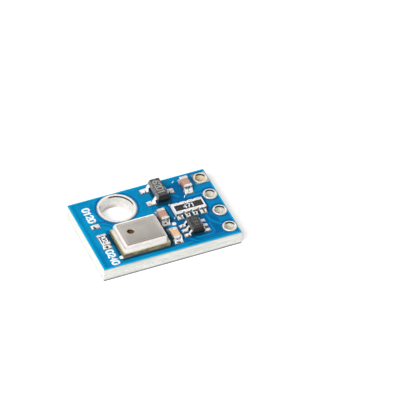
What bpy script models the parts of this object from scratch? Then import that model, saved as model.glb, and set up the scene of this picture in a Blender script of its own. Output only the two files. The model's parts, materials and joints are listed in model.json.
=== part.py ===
"""Temperature and humidity sensor module: a blue circuit board with soldered parts.

Units are metres, +Z is up. The origin is at the centre of the underside, +X runs along the
board's long side towards the row of pin holes, and +Y runs to the long side with the mounting
hole. The board lies on its lands, which stand a little proud of the solder mask.
"""

import math

import bmesh
import bpy
from mathutils import Vector

MM = 0.001

# Board layers
LAMINATE_THICKNESS = 1.54 * MM
MASK_THICKNESS = 0.03 * MM
LAND_THICKNESS = 0.05 * MM  # copper and tin on the laminate, a little more than the mask
MASK_CLEARANCE = 0.03 * MM  # the mask is held back by this much round every land
FIT = 0.01 * MM  # gap between two pieces that fit into one another
SOLDER_FILM = 0.01 * MM  # how far a terminal or a lead sinks into the tin of its land

# Plated holes
PLATING = 0.04 * MM
PIN_COUNT = 4
PIN_PITCH = 2.54 * MM
PIN_HOLE_DIAMETER = 1.1 * MM
PIN_LAND_WIDTH = 1.5 * MM
PIN_ROW_SHIFT = 0.05 * MM  # the row of holes lies this much behind the board's middle
MOUNT_HOLE_DIAMETER = 3.5 * MM
MOUNT_LAND_DIAMETER = 4.16 * MM
LAND_EDGE = 0.012 * MM  # rounding of the tin at the rims of the plated holes

# Sensor
SENSOR_LENGTH = 5.15 * MM
SENSOR_WIDTH = 3.83 * MM
SUBSTRATE_THICKNESS = 0.58 * MM
LID_LENGTH = 4.8 * MM
LID_WIDTH = 3.66 * MM
LID_HEIGHT = 0.98 * MM
LID_WALL = 0.12 * MM
LID_CORNER_RADIUS = 0.42 * MM
LID_CORNER_SEGMENTS = 6
LID_TOP_RADIUS = 0.3 * MM
LID_TOP_SEGMENTS = 6
LID_SHIFT_X = -0.04 * MM
LID_SHIFT_Y = -0.015 * MM
VENT_DIAMETER = 0.8 * MM
VENT_FROM_LEFT = 1.4 * MM
VENT_FROM_FRONT = 1.94 * MM
HUMIDITY_DIE_SIDE = 1.1 * MM
HUMIDITY_DIE_HEIGHT = 0.35 * MM
SIGNAL_DIE_LENGTH = 1.4 * MM
SIGNAL_DIE_WIDTH = 1.7 * MM
SIGNAL_DIE_HEIGHT = 0.28 * MM
DIE_SPACING = 0.5 * MM
SENSOR_PAD_ROWS = 2
SENSOR_PADS_PER_ROW = 3
SENSOR_PAD_PITCH = 1.27 * MM
SENSOR_PAD_LENGTH = 0.6 * MM
SENSOR_PAD_WIDTH = 0.8 * MM
SENSOR_PAD_INSET = 0.3 * MM
SENSOR_SOLDER = 0.03 * MM

# Chip capacitors
CAPACITOR_LENGTH = 1.55 * MM
CAPACITOR_WIDTH = 0.86 * MM
CAPACITOR_HEIGHT = 0.8 * MM
LOW_CAPACITOR_HEIGHT = 0.52 * MM
CAPACITOR_BAND = 0.33 * MM
CAP_PLATING = 0.03 * MM
CERAMIC_EDGE = 0.04 * MM
CAP_EDGE = 0.07 * MM
CHIP_LAND_REACH = 0.4 * MM  # how far a chip's land runs out past the end of the chip
CHIP_LAND_UNDER = 0.3 * MM  # and how far it runs in under the chip
CAP_LAND_BARE = 0.025 * MM  # what the solder's toe leaves bare of a capacitor's land
FILLET_SHARE = 0.62  # share of a chip's height that the solder climbs

# Address resistor and its three select pads
RESISTOR_LENGTH = 1.55 * MM
RESISTOR_WIDTH = 0.8 * MM
RESISTOR_HEIGHT = 0.42 * MM
ADDRESS_PITCH = 1.57 * MM
ADDRESS_PAD_LENGTH = 0.65 * MM
ADDRESS_PAD_WIDTH = 0.93 * MM
ADDRESS_MOUND_HEIGHT = 0.06 * MM
ADDRESS_MOUND_INSET = 0.08 * MM
COATING_THICKNESS = 0.02 * MM

# Resistor array
ARRAY_LENGTH = 3.37 * MM
ARRAY_WIDTH = 1.55 * MM
ARRAY_HEIGHT = 0.52 * MM
ARRAY_BAND = 0.3 * MM
ARRAY_TERMINALS = 4
ARRAY_PITCH = 0.8 * MM
ARRAY_TERMINAL_WIDTH = 0.46 * MM
ARRAY_END_MARGIN = 0.06 * MM
ARRAY_NOTCH_DEPTH = 0.12 * MM
ARRAY_NOTCH_SEGMENTS = 16
ARRAY_COATING_LENGTH = 3.05 * MM
ARRAY_COATING_WIDTH = 0.8 * MM

# Regulator, with three leads
REGULATOR_LENGTH = 2.86 * MM
REGULATOR_WIDTH = 1.32 * MM
REGULATOR_HEIGHT = 1.0 * MM
REGULATOR_LIFT = 0.1 * MM  # from the mask to the body's underside
REGULATOR_DRAFT = 0.14 * MM
REGULATOR_LEAD_PITCH = 1.9 * MM
REGULATOR_LEAD_WIDTH = 0.42 * MM
REGULATOR_LEAD_THICKNESS = 0.13 * MM
REGULATOR_LEAD_SPAN = 2.56 * MM
REGULATOR_FOOT = 0.27 * MM
REGULATOR_LAND_LENGTH = 0.95 * MM
REGULATOR_LAND_WIDTH = 0.68 * MM
REGULATOR_LAND_REACH = 0.4 * MM

# Dual transistor, with six leads
TRANSISTOR_LENGTH = 2.0 * MM
TRANSISTOR_WIDTH = 1.3 * MM
TRANSISTOR_HEIGHT = 0.86 * MM
TRANSISTOR_LIFT = 0.08 * MM
TRANSISTOR_DRAFT = 0.1 * MM
TRANSISTOR_LEAD_PITCH = 0.7 * MM
TRANSISTOR_LEAD_WIDTH = 0.24 * MM
TRANSISTOR_LEAD_THICKNESS = 0.11 * MM
TRANSISTOR_LEAD_SPAN = 2.3 * MM
TRANSISTOR_FOOT = 0.2 * MM
TRANSISTOR_LAND_LENGTH = 0.66 * MM
TRANSISTOR_LAND_WIDTH = 0.42 * MM
TRANSISTOR_LAND_REACH = 0.27 * MM

# Moulded packages and their leads
LEAD_SOCKET = 0.15 * MM  # how far a lead's root runs into the body
LEAD_BEND = 0.09 * MM
LEAD_SHOULDER = 0.15  # share of the way from the body's face to the heel that runs level
LEAD_MOUND_HEIGHT = 0.08 * MM
LEAD_MOUND_INSET = 0.1 * MM
BODY_EDGE = 0.03 * MM

# Columns of the layout, from the left edge to the right, and the gaps between them
EDGE_TO_ADDRESS = 1.05 * MM
ADDRESS_TO_SENSOR = 0.47 * MM
SENSOR_TO_CAPACITOR = 0.37 * MM
CAPACITOR_TO_ARRAY = 0.93 * MM
ARRAY_TO_PINS = 0.5 * MM
PINS_TO_EDGE = 0.07 * MM

# Rows of the layout, from the front edge to the back
EDGE_TO_SENSOR = 0.73 * MM
SENSOR_TO_MOUNT = 1.18 * MM
MOUNT_TO_EDGE = 0.1 * MM
EDGE_TO_TRANSISTOR = 1.26 * MM
EDGE_TO_LOW_CAPACITOR = 1.15 * MM
EDGE_TO_ADDRESS_ROW = 2.94 * MM  # to the middle of the front select pad
REGULATOR_TO_EDGE = 0.42 * MM
BACK_CAPACITOR_TO_EDGE = 1.0 * MM
MIDDLE_CAPACITOR_SHIFT = -0.3 * MM  # from the board's middle
ARRAY_SHIFT = 0.075 * MM  # from the board's middle
BACK_CAPACITOR_SHIFT = 1.005 * MM  # from the resistor array, to the right
LOW_CAPACITOR_SHIFT = 0.23 * MM  # from the middle capacitor, to the right
REGULATOR_SHIFT = 1.0 * MM  # from the middle capacitor, to the right
TRANSISTOR_SHIFT = -0.495 * MM  # from the resistor array, to the left
MOUNT_SHIFT = -0.4 * MM  # from the sensor, to the left

PIN_SEGMENTS = 32
MOUNT_SEGMENTS = 64
VENT_SEGMENTS = 32
CORNER_STEPS = 3

# Heights
LAMINATE_BOTTOM = LAND_THICKNESS
LAMINATE_TOP = LAMINATE_BOTTOM + LAMINATE_THICKNESS
MASK_TOP = LAMINATE_TOP + MASK_THICKNESS
LAND_TOP = LAMINATE_TOP + LAND_THICKNESS
SEAT = LAND_TOP - SOLDER_FILM  # underside of every soldered terminal

# Board outline, worked out from the columns and rows that it carries
BOARD_LENGTH = (
    EDGE_TO_ADDRESS + ADDRESS_PAD_WIDTH + ADDRESS_TO_SENSOR + SENSOR_LENGTH
    + SENSOR_TO_CAPACITOR + CAPACITOR_WIDTH + CAPACITOR_TO_ARRAY + ARRAY_LENGTH
    + ARRAY_TO_PINS + PIN_LAND_WIDTH + PINS_TO_EDGE
)
BOARD_WIDTH = EDGE_TO_SENSOR + SENSOR_WIDTH + SENSOR_TO_MOUNT + MOUNT_LAND_DIAMETER + MOUNT_TO_EDGE
LEFT, RIGHT = -BOARD_LENGTH / 2, BOARD_LENGTH / 2
FRONT, BACK = -BOARD_WIDTH / 2, BOARD_WIDTH / 2

# Places of the parts
ADDRESS_X = LEFT + EDGE_TO_ADDRESS + ADDRESS_PAD_WIDTH / 2
ADDRESS_FRONT_PAD_Y = FRONT + EDGE_TO_ADDRESS_ROW
SENSOR_X = ADDRESS_X + ADDRESS_PAD_WIDTH / 2 + ADDRESS_TO_SENSOR + SENSOR_LENGTH / 2
SENSOR_Y = FRONT + EDGE_TO_SENSOR + SENSOR_WIDTH / 2
MOUNT_X = SENSOR_X + MOUNT_SHIFT
MOUNT_Y = BACK - MOUNT_TO_EDGE - MOUNT_LAND_DIAMETER / 2
CAPACITOR_X = SENSOR_X + SENSOR_LENGTH / 2 + SENSOR_TO_CAPACITOR + CAPACITOR_WIDTH / 2
ARRAY_X = CAPACITOR_X + CAPACITOR_WIDTH / 2 + CAPACITOR_TO_ARRAY + ARRAY_LENGTH / 2
PIN_X = RIGHT - PINS_TO_EDGE - PIN_LAND_WIDTH / 2
CAPACITOR_Y = MIDDLE_CAPACITOR_SHIFT
PIN_FIRST_Y = PIN_ROW_SHIFT + (PIN_COUNT - 1) / 2 * PIN_PITCH  # pin 1 is the one at the back

PARTS = bpy.data.collections.new("temperature_humidity_sensor_module")
CUTTERS = bpy.data.collections.new("cutters")
MASK_OPENINGS = []  # (x, y, size along X, size along Y) of each land that the top mask leaves bare


def material(name, colour, roughness, metallic=0.0):
    """The named material, made the first time that it is asked for."""
    found = bpy.data.materials.get(name)
    if found:
        return found
    made = bpy.data.materials.new(name)
    made.use_nodes = True
    shader = made.node_tree.nodes["Principled BSDF"]
    shader.inputs["Base Color"].default_value = (*colour, 1.0)
    shader.inputs["Roughness"].default_value = roughness
    shader.inputs["Metallic"].default_value = metallic
    return made


def laminate_finish():
    return material("laminate", (0.62, 0.60, 0.48), 0.6)


def mask_finish():
    return material("blue_mask", (0.0, 0.15, 0.38), 0.3)


def tin_finish():
    return material("tin", (0.75, 0.74, 0.71), 0.3, 1.0)


def moulding_finish():
    return material("black_moulding", (0.045, 0.045, 0.045), 0.55)


def white_ceramic_finish():
    return material("white_ceramic", (0.75, 0.74, 0.70), 0.5)


def coating_finish():
    return material("resistor_coating", (0.05, 0.045, 0.04), 0.4)


def pink_ceramic_finish():
    return material("pink_ceramic", (0.45, 0.22, 0.16), 0.5)


def tan_ceramic_finish():
    return material("tan_ceramic", (0.62, 0.36, 0.17), 0.5)


def add_object(name, bm, place, parent, turn):
    """An object made from the bmesh, turned about Z and set at its place under its parent."""
    bmesh.ops.recalc_face_normals(bm, faces=bm.faces)
    mesh = bpy.data.meshes.new(name)
    bm.to_mesh(mesh)
    bm.free()
    mesh.shade_smooth()
    mesh.set_sharp_from_angle(angle=math.radians(30))
    made = bpy.data.objects.new(name, mesh)
    made.location = place
    made.rotation_euler.z = turn
    made.parent = parent
    return made


def add_part(name, bm, finish, place=(0, 0, 0), parent=None, turn=0.0):
    made = add_object(name, bm, place, parent, turn)
    made.data.materials.append(finish)
    PARTS.objects.link(made)
    return made


def add_cutter(name, bm, place=(0, 0, 0), parent=None, turn=0.0):
    """A shape that a Boolean cuts with or joins on, and that isn't a part itself."""
    made = add_object(name, bm, place, parent, turn)
    made.hide_render = True
    made.display_type = "WIRE"
    CUTTERS.objects.link(made)
    return made


def add_mount_point(name, x, y):
    """An empty on the board that a component's pieces are parented to."""
    empty = bpy.data.objects.new(name, None)
    empty.location = (x, y, 0)
    empty.empty_display_size = MM
    PARTS.objects.link(empty)
    return empty


def boolean(obj, operation, other):
    modifier = obj.modifiers.new(f"{operation.lower()} {other.name}", "BOOLEAN")
    modifier.operation = operation
    modifier.object = other


def block(size, centre=(0, 0, 0), edge=0.0, segments=2):
    """A box with its edges rounded by the given radius."""
    bm = bmesh.new()
    bmesh.ops.create_cube(bm, size=1)
    bmesh.ops.scale(bm, vec=size, verts=bm.verts)
    if edge > 0:
        bmesh.ops.bevel(
            bm, geom=bm.edges[:], offset=edge, segments=segments, profile=0.5, affect="EDGES"
        )
    bmesh.ops.translate(bm, vec=centre, verts=bm.verts)
    return bm


def disc(diameter, bottom, top, segments, x=0.0, y=0.0):
    """An upright cylinder."""
    bm = bmesh.new()
    bmesh.ops.create_cone(
        bm, cap_ends=True, segments=segments, radius1=diameter / 2, radius2=diameter / 2,
        depth=top - bottom,
    )
    bmesh.ops.translate(bm, vec=(x, y, (bottom + top) / 2), verts=bm.verts)
    return bm


def gather(pieces):
    """One bmesh that holds all of the given ones, which are used up."""
    whole = bmesh.new()
    for piece in pieces:
        mesh = bpy.data.meshes.new("piece")
        piece.to_mesh(mesh)
        piece.free()
        whole.from_mesh(mesh)
        bpy.data.meshes.remove(mesh)
    return whole


def prism(outline, width):
    """A closed outline in the YZ plane, given its width along X, half to each side."""
    bm = bmesh.new()
    face = bm.faces.new([bm.verts.new((-width / 2, y, z)) for y, z in outline])
    swept = bmesh.ops.extrude_face_region(bm, geom=[face])
    moved = [item for item in swept["geom"] if isinstance(item, bmesh.types.BMVert)]
    bmesh.ops.translate(bm, vec=(width, 0, 0), verts=moved)
    return bm


def arc(centre, radius_y, radius_z, start, end, steps):
    """Points on an ellipse in the YZ plane, from the start angle to the end angle in degrees."""
    angles = [math.radians(start + (end - start) * i / steps) for i in range(steps + 1)]
    return [
        (centre[0] + radius_y * math.cos(a), centre[1] + radius_z * math.sin(a)) for a in angles
    ]


def meniscus(face, top, reach):
    """The hollow slope of solder from an end face down to the land, ending at its toe."""
    toe = face - reach
    return arc((toe, top), reach, top - LAND_TOP, 0, -90, 2 * CORNER_STEPS)


def land(length, width, centre_y, mound=0.0, inset=0.0):
    """A land with its tin: a flat block whose top may be raised in a low mound."""
    bm = block((width, length, LAND_THICKNESS), (0, centre_y, LAMINATE_TOP + LAND_THICKNESS / 2))
    if mound > 0:
        top = max(bm.faces, key=lambda face: face.calc_center_median().z)
        bmesh.ops.inset_individual(bm, faces=[top], thickness=inset, depth=mound)
    return bm


def note_opening(parent, centre_y, length, width, turn, shift_x=0.0):
    """Leaves the top mask open over a land that is built along Y and then turned about Z."""
    cos, sin = round(math.cos(turn)), round(math.sin(turn))
    x = parent.location.x + shift_x * cos - centre_y * sin
    y = parent.location.y + shift_x * sin + centre_y * cos
    along_x, along_y = (width, length) if cos else (length, width)
    MASK_OPENINGS.append((x, y, along_x + 2 * MASK_CLEARANCE, along_y + 2 * MASK_CLEARANCE))


def plating_profile(hole, flange):
    """Half of a plated hole's section: a barrel with a land at each end, in the XZ plane."""
    inner, barrel, outer = hole / 2, hole / 2 + PLATING, flange / 2
    low, high = LAND_THICKNESS, LAMINATE_TOP
    e = LAND_EDGE
    return [
        (inner + e, LAND_TOP), (outer - e, LAND_TOP), (outer, LAND_TOP - e), (outer, high),
        (barrel, high), (barrel, low), (outer, low), (outer, e), (outer - e, 0.0),
        (inner + e, 0.0), (inner, e), (inner, LAND_TOP - e),
    ]


def add_round_plating(name, x, y, hole, flange, segments):
    """A plated hole with two round lands, turned about the hole's axis."""
    points = plating_profile(hole, flange)
    bm = bmesh.new()
    verts = [bm.verts.new((r, 0, z)) for r, z in points]
    for i, vert in enumerate(verts):
        bm.edges.new((vert, verts[(i + 1) % len(verts)]))
    mesh = bpy.data.meshes.new(name)
    bm.to_mesh(mesh)
    bm.free()
    made = bpy.data.objects.new(name, mesh)
    made.location = (x, y, 0)
    mesh.materials.append(tin_finish())
    PARTS.objects.link(made)
    screw = made.modifiers.new("turn", "SCREW")
    screw.steps = screw.render_steps = segments
    screw.use_merge_vertices = True
    screw.merge_threshold = 1e-7
    screw.use_smooth_shade = True
    return made


def add_square_plating(name, x, y):
    """The plated hole of pin 1, whose upper land is square."""
    hole = PIN_HOLE_DIAMETER
    middle = LAND_THICKNESS / 2
    lands = block(
        (PIN_LAND_WIDTH, PIN_LAND_WIDTH, LAND_THICKNESS), (0, 0, LAND_TOP - middle), LAND_EDGE, 1
    )
    made = add_part(name, lands, tin_finish(), (x, y, 0))
    barrel = disc(hole + 2 * PLATING, middle, LAND_TOP - middle, PIN_SEGMENTS)
    boolean(made, "UNION", add_cutter(f"{name}_barrel", barrel, (x, y, 0)))
    flange = disc(PIN_LAND_WIDTH, 0, LAND_THICKNESS, PIN_SEGMENTS)
    boolean(made, "UNION", add_cutter(f"{name}_flange", flange, (x, y, 0)))
    drill = disc(hole, -MM, LAND_TOP + MM, PIN_SEGMENTS)
    boolean(made, "DIFFERENCE", add_cutter(f"{name}_drill", drill, (x, y, 0)))


def pin_places():
    return [(PIN_X, PIN_FIRST_Y - i * PIN_PITCH) for i in range(PIN_COUNT)]


def add_board():
    """The laminate, the two masks on it and the plated holes through it."""
    size = (BOARD_LENGTH, BOARD_WIDTH)
    laminate = add_part(
        "board_laminate",
        block((*size, LAMINATE_THICKNESS), (0, 0, LAMINATE_BOTTOM + LAMINATE_THICKNESS / 2)),
        laminate_finish(),
    )
    top_mask = add_part(
        "solder_mask_top",
        block((*size, MASK_THICKNESS), (0, 0, LAMINATE_TOP + MASK_THICKNESS / 2)),
        mask_finish(),
    )
    bottom_mask = add_part(
        "solder_mask_bottom",
        block((*size, MASK_THICKNESS), (0, 0, LAMINATE_BOTTOM - MASK_THICKNESS / 2)),
        mask_finish(),
    )
    holes = [(x, y, PIN_HOLE_DIAMETER, PIN_LAND_WIDTH, PIN_SEGMENTS) for x, y in pin_places()]
    holes.append((MOUNT_X, MOUNT_Y, MOUNT_HOLE_DIAMETER, MOUNT_LAND_DIAMETER, MOUNT_SEGMENTS))
    drills, openings, windows = [], [], []
    for x, y, hole, flange, segments in holes:
        bare = flange + 2 * MASK_CLEARANCE
        drills.append(disc(hole + 2 * (PLATING + FIT), -MM, LAND_TOP + MM, segments, x, y))
        openings.append(disc(bare, -MM, LAMINATE_BOTTOM + MM / 2, segments, x, y))
        if (x, y) != pin_places()[0]:
            windows.append(disc(bare, LAMINATE_TOP - MM / 2, LAND_TOP + MM, segments, x, y))
    square = PIN_LAND_WIDTH + 2 * MASK_CLEARANCE
    MASK_OPENINGS.append((*pin_places()[0], square, square))
    for x, y, along_x, along_y in MASK_OPENINGS:
        windows.append(block((along_x, along_y, MM), (x, y, LAMINATE_TOP + MM / 4)))
    boolean(laminate, "DIFFERENCE", add_cutter("drills", gather(drills)))
    boolean(bottom_mask, "DIFFERENCE", add_cutter("bottom_openings", gather(openings)))
    boolean(top_mask, "DIFFERENCE", add_cutter("top_openings", gather(windows)))

    add_square_plating("pin_hole_plating_1", *pin_places()[0])
    for i, (x, y) in enumerate(pin_places()[1:], start=2):
        add_round_plating(
            f"pin_hole_plating_{i}", x, y, PIN_HOLE_DIAMETER, PIN_LAND_WIDTH, PIN_SEGMENTS
        )
    add_round_plating(
        "mounting_hole_plating", MOUNT_X, MOUNT_Y, MOUNT_HOLE_DIAMETER, MOUNT_LAND_DIAMETER,
        MOUNT_SEGMENTS,
    )


def lid_shell():
    """The outer skin of the drawn lid, open below: round corners first, then the round top rim."""
    bm = block((LID_LENGTH, LID_WIDTH, LID_HEIGHT), (0, 0, LID_HEIGHT / 2))
    upright = [e for e in bm.edges if abs(e.verts[0].co.z - e.verts[1].co.z) > LID_HEIGHT / 2]
    bmesh.ops.bevel(
        bm, geom=upright, offset=LID_CORNER_RADIUS, segments=LID_CORNER_SEGMENTS, profile=0.5,
        affect="EDGES",
    )
    underside = [f for f in bm.faces if all(v.co.z < LID_HEIGHT / 2 for v in f.verts)]
    bmesh.ops.delete(bm, geom=underside, context="FACES")
    rim = [e for e in bm.edges if all(v.co.z > LID_HEIGHT / 2 for v in e.verts)]
    bmesh.ops.bevel(
        bm, geom=rim, offset=LID_TOP_RADIUS, segments=LID_TOP_SEGMENTS, profile=0.5,
        affect="EDGES",
    )
    return bm


def add_sensor():
    """The sensor: six joints, a substrate, two bare dies and the drawn lid over them."""
    sensor = add_mount_point("sensor", SENSOR_X, SENSOR_Y)
    bottom = LAND_TOP + SENSOR_SOLDER
    top = bottom + SUBSTRATE_THICKNESS
    row_y = SENSOR_WIDTH / 2 - SENSOR_PAD_INSET - SENSOR_PAD_WIDTH / 2
    number = 0
    for side in range(SENSOR_PAD_ROWS):
        for i in range(SENSOR_PADS_PER_ROW):
            number += 1
            x = (i - (SENSOR_PADS_PER_ROW - 1) / 2) * SENSOR_PAD_PITCH
            y = row_y * (2 * side - 1)
            size = (SENSOR_PAD_LENGTH, SENSOR_PAD_WIDTH, bottom - LAMINATE_TOP)
            joint = block(size, (0, 0, LAMINATE_TOP + size[2] / 2))
            add_part(f"sensor_solder_joint_{number}", joint, tin_finish(), (x, y, 0), sensor)
            note_opening(sensor, y, SENSOR_PAD_WIDTH, SENSOR_PAD_LENGTH, 0.0, x)

    substrate = block((SENSOR_LENGTH, SENSOR_WIDTH, SUBSTRATE_THICKNESS), (0, 0, 0), BODY_EDGE, 1)
    add_part(
        "sensor_substrate", substrate, material("substrate", (0.42, 0.40, 0.20), 0.6),
        (0, 0, (bottom + top) / 2), sensor,
    )
    lid = add_part(
        "sensor_lid", lid_shell(), material("lid_metal", (0.55, 0.51, 0.47), 0.38, 1.0),
        (LID_SHIFT_X, LID_SHIFT_Y, top), sensor,
    )
    shell = lid.modifiers.new("wall", "SOLIDIFY")
    shell.thickness = LID_WALL
    shell.offset = -1
    shell.use_even_offset = True
    vent_x = LID_SHIFT_X - LID_LENGTH / 2 + VENT_FROM_LEFT
    vent_y = LID_SHIFT_Y - LID_WIDTH / 2 + VENT_FROM_FRONT
    vent = disc(VENT_DIAMETER, LID_HEIGHT / 2, LID_HEIGHT + MM, VENT_SEGMENTS)
    boolean(lid, "DIFFERENCE", add_cutter("vent", vent, (vent_x, vent_y, top), sensor))

    die = material("silicon", (0.10, 0.07, 0.05), 0.35, 0.2)
    humidity = block(
        (HUMIDITY_DIE_SIDE, HUMIDITY_DIE_SIDE, HUMIDITY_DIE_HEIGHT), (0, 0, HUMIDITY_DIE_HEIGHT / 2)
    )
    add_part("sensor_humidity_die", humidity, die, (vent_x, vent_y, top), sensor)
    signal_x = vent_x + (HUMIDITY_DIE_SIDE + SIGNAL_DIE_LENGTH) / 2 + DIE_SPACING
    signal = block(
        (SIGNAL_DIE_LENGTH, SIGNAL_DIE_WIDTH, SIGNAL_DIE_HEIGHT), (0, 0, SIGNAL_DIE_HEIGHT / 2)
    )
    add_part("sensor_signal_die", signal, die, (signal_x, LID_SHIFT_Y, top), sensor)


def end_cap(length, width, height):
    """The plated end of a chip capacitor, towards -Y, solid until the ceramic is cut from it."""
    bm = block((width, length, height), (0, 0, SEAT + height / 2), CAP_EDGE)
    bmesh.ops.bisect_plane(
        bm, geom=bm.verts[:] + bm.edges[:] + bm.faces[:],
        plane_co=(0, CAPACITOR_BAND - length / 2, 0), plane_no=(0, 1, 0), clear_outer=True,
    )
    bmesh.ops.holes_fill(bm, edges=[e for e in bm.edges if e.is_boundary])
    return bm


def add_capacitor(name, x, y, height, ceramic):
    """A chip capacitor along Y: a ceramic block with a plated cap soldered down at each end."""
    chip = add_mount_point(name, x, y)
    middle = (0, 0, SEAT + height / 2)
    core = (
        CAPACITOR_WIDTH - 2 * CAP_PLATING,
        CAPACITOR_LENGTH - 2 * CAP_PLATING,
        height - 2 * CAP_PLATING,
    )
    add_part(f"{name}_body", block(core, (0, 0, 0), CERAMIC_EDGE), ceramic, middle, chip)
    room = [side + FIT for side in core]
    pocket = add_cutter(f"{name}_pocket", block(room, (0, 0, 0), CERAMIC_EDGE), middle, chip)
    end = -CAPACITOR_LENGTH / 2
    climb = SEAT + FILLET_SHARE * height
    length = CHIP_LAND_REACH + CHIP_LAND_UNDER
    centre = end - CHIP_LAND_REACH + length / 2
    root = LAMINATE_TOP + LAND_THICKNESS / 2
    inside = end + CAP_PLATING / 2
    solder = meniscus(end, climb, CHIP_LAND_REACH - CAP_LAND_BARE)
    solder += [(solder[-1][0], root), (inside, root), (inside, climb)]
    for label, turn in (("front", 0.0), ("back", math.pi)):
        base = land(length, CAPACITOR_WIDTH + 2 * MASK_CLEARANCE, centre)
        made = add_part(f"{name}_terminal_{label}", base, tin_finish(), (0, 0, 0), chip, turn)
        cap = end_cap(CAPACITOR_LENGTH, CAPACITOR_WIDTH, height)
        boolean(made, "UNION", add_cutter(f"{name}_cap_{label}", cap, (0, 0, 0), chip, turn))
        fillet = prism(solder, CAPACITOR_WIDTH - CAP_EDGE)
        boolean(made, "UNION", add_cutter(f"{name}_fillet_{label}", fillet, (0, 0, 0), chip, turn))
        boolean(made, "DIFFERENCE", pocket)
        note_opening(chip, centre, length, CAPACITOR_WIDTH + 2 * MASK_CLEARANCE, turn)


def wrap_outline(end, band, height, reach):
    """Section of a resistor's terminal towards -Y: over the top, down the end, under, and solder."""
    top = SEAT + height
    climb = SEAT + FILLET_SHARE * height
    root = LAMINATE_TOP + LAND_THICKNESS / 2
    inner = end + band
    wall = end + CAP_PLATING
    round_edge = CAP_EDGE / 2
    corner = arc(
        (end + round_edge, top - round_edge), round_edge, round_edge, 90, 180, CORNER_STEPS
    )
    solder = meniscus(end, climb, reach)
    return (
        [(inner, top)] + corner + solder
        + [(solder[-1][0], root), (inner, root), (inner, SEAT + CAP_PLATING)]
        + [(wall, SEAT + CAP_PLATING), (wall, top - CAP_PLATING), (inner, top - CAP_PLATING)]
    )


def add_wrapped_terminal(name, chip, x, turn, outline, width, land_width, land_span):
    """A terminal of the given section, soldered to its land between the two ends of land_span."""
    near, far = land_span
    length, centre = near - far, (near + far) / 2
    shift = x * round(math.cos(turn))
    base = land(length, land_width, centre)
    made = add_part(name, base, tin_finish(), (x, 0, 0), chip, turn)
    wrap = add_cutter(f"{name}_wrap", prism(outline, width), (x, 0, 0), chip, turn)
    boolean(made, "UNION", wrap)
    note_opening(chip, centre, length, land_width, turn, shift)


def add_array():
    """The array of resistors: a notched ceramic slab with a row of terminals on each long side."""
    array = add_mount_point("resistor_array", ARRAY_X, ARRAY_SHIFT)
    ceramic_width = ARRAY_WIDTH - 2 * CAP_PLATING
    ceramic_height = ARRAY_HEIGHT - 2 * CAP_PLATING
    middle = SEAT + ARRAY_HEIGHT / 2
    body = add_part(
        "resistor_array_body", block((ARRAY_LENGTH, ceramic_width, ceramic_height), (0, 0, middle)),
        white_ceramic_finish(), (0, 0, 0), array,
    )
    radius = (ARRAY_PITCH - ARRAY_TERMINAL_WIDTH) / 2 - 2 * FIT
    offset = ceramic_width / 2 + radius - ARRAY_NOTCH_DEPTH
    notches = []
    for i in range(ARRAY_TERMINALS - 1):
        x = (i - (ARRAY_TERMINALS - 2) / 2) * ARRAY_PITCH
        for y in (-offset, offset):
            notches.append(
                disc(2 * radius, LAND_TOP - MM, LAND_TOP + MM, ARRAY_NOTCH_SEGMENTS, x, y)
            )
    boolean(body, "DIFFERENCE", add_cutter("array_notches", gather(notches), (0, 0, 0), array))

    coating = block(
        (ARRAY_COATING_LENGTH, ARRAY_COATING_WIDTH, COATING_THICKNESS),
        (0, 0, middle + ceramic_height / 2 + COATING_THICKNESS / 2),
    )
    add_part("resistor_array_coating", coating, coating_finish(), (0, 0, 0), array)

    end = -ARRAY_WIDTH / 2
    outline = wrap_outline(end, ARRAY_BAND, ARRAY_HEIGHT, CHIP_LAND_REACH)
    span = (end + ARRAY_BAND + FIT, end - CHIP_LAND_REACH - FIT)
    inner_edge = (ARRAY_TERMINALS - 1) / 2 * ARRAY_PITCH - ARRAY_TERMINAL_WIDTH / 2
    outer_width = ARRAY_LENGTH / 2 - ARRAY_END_MARGIN - inner_edge
    number = 0
    for turn in (0.0, math.pi):
        for i in range(ARRAY_TERMINALS):
            number += 1
            x = (i - (ARRAY_TERMINALS - 1) / 2) * ARRAY_PITCH
            width = ARRAY_TERMINAL_WIDTH
            if i in (0, ARRAY_TERMINALS - 1):
                width = outer_width
                x = math.copysign(inner_edge + outer_width / 2, x)
            add_wrapped_terminal(
                f"resistor_array_terminal_{number}", array, x, turn, outline, width,
                width + 2 * FIT, span,
            )


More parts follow.
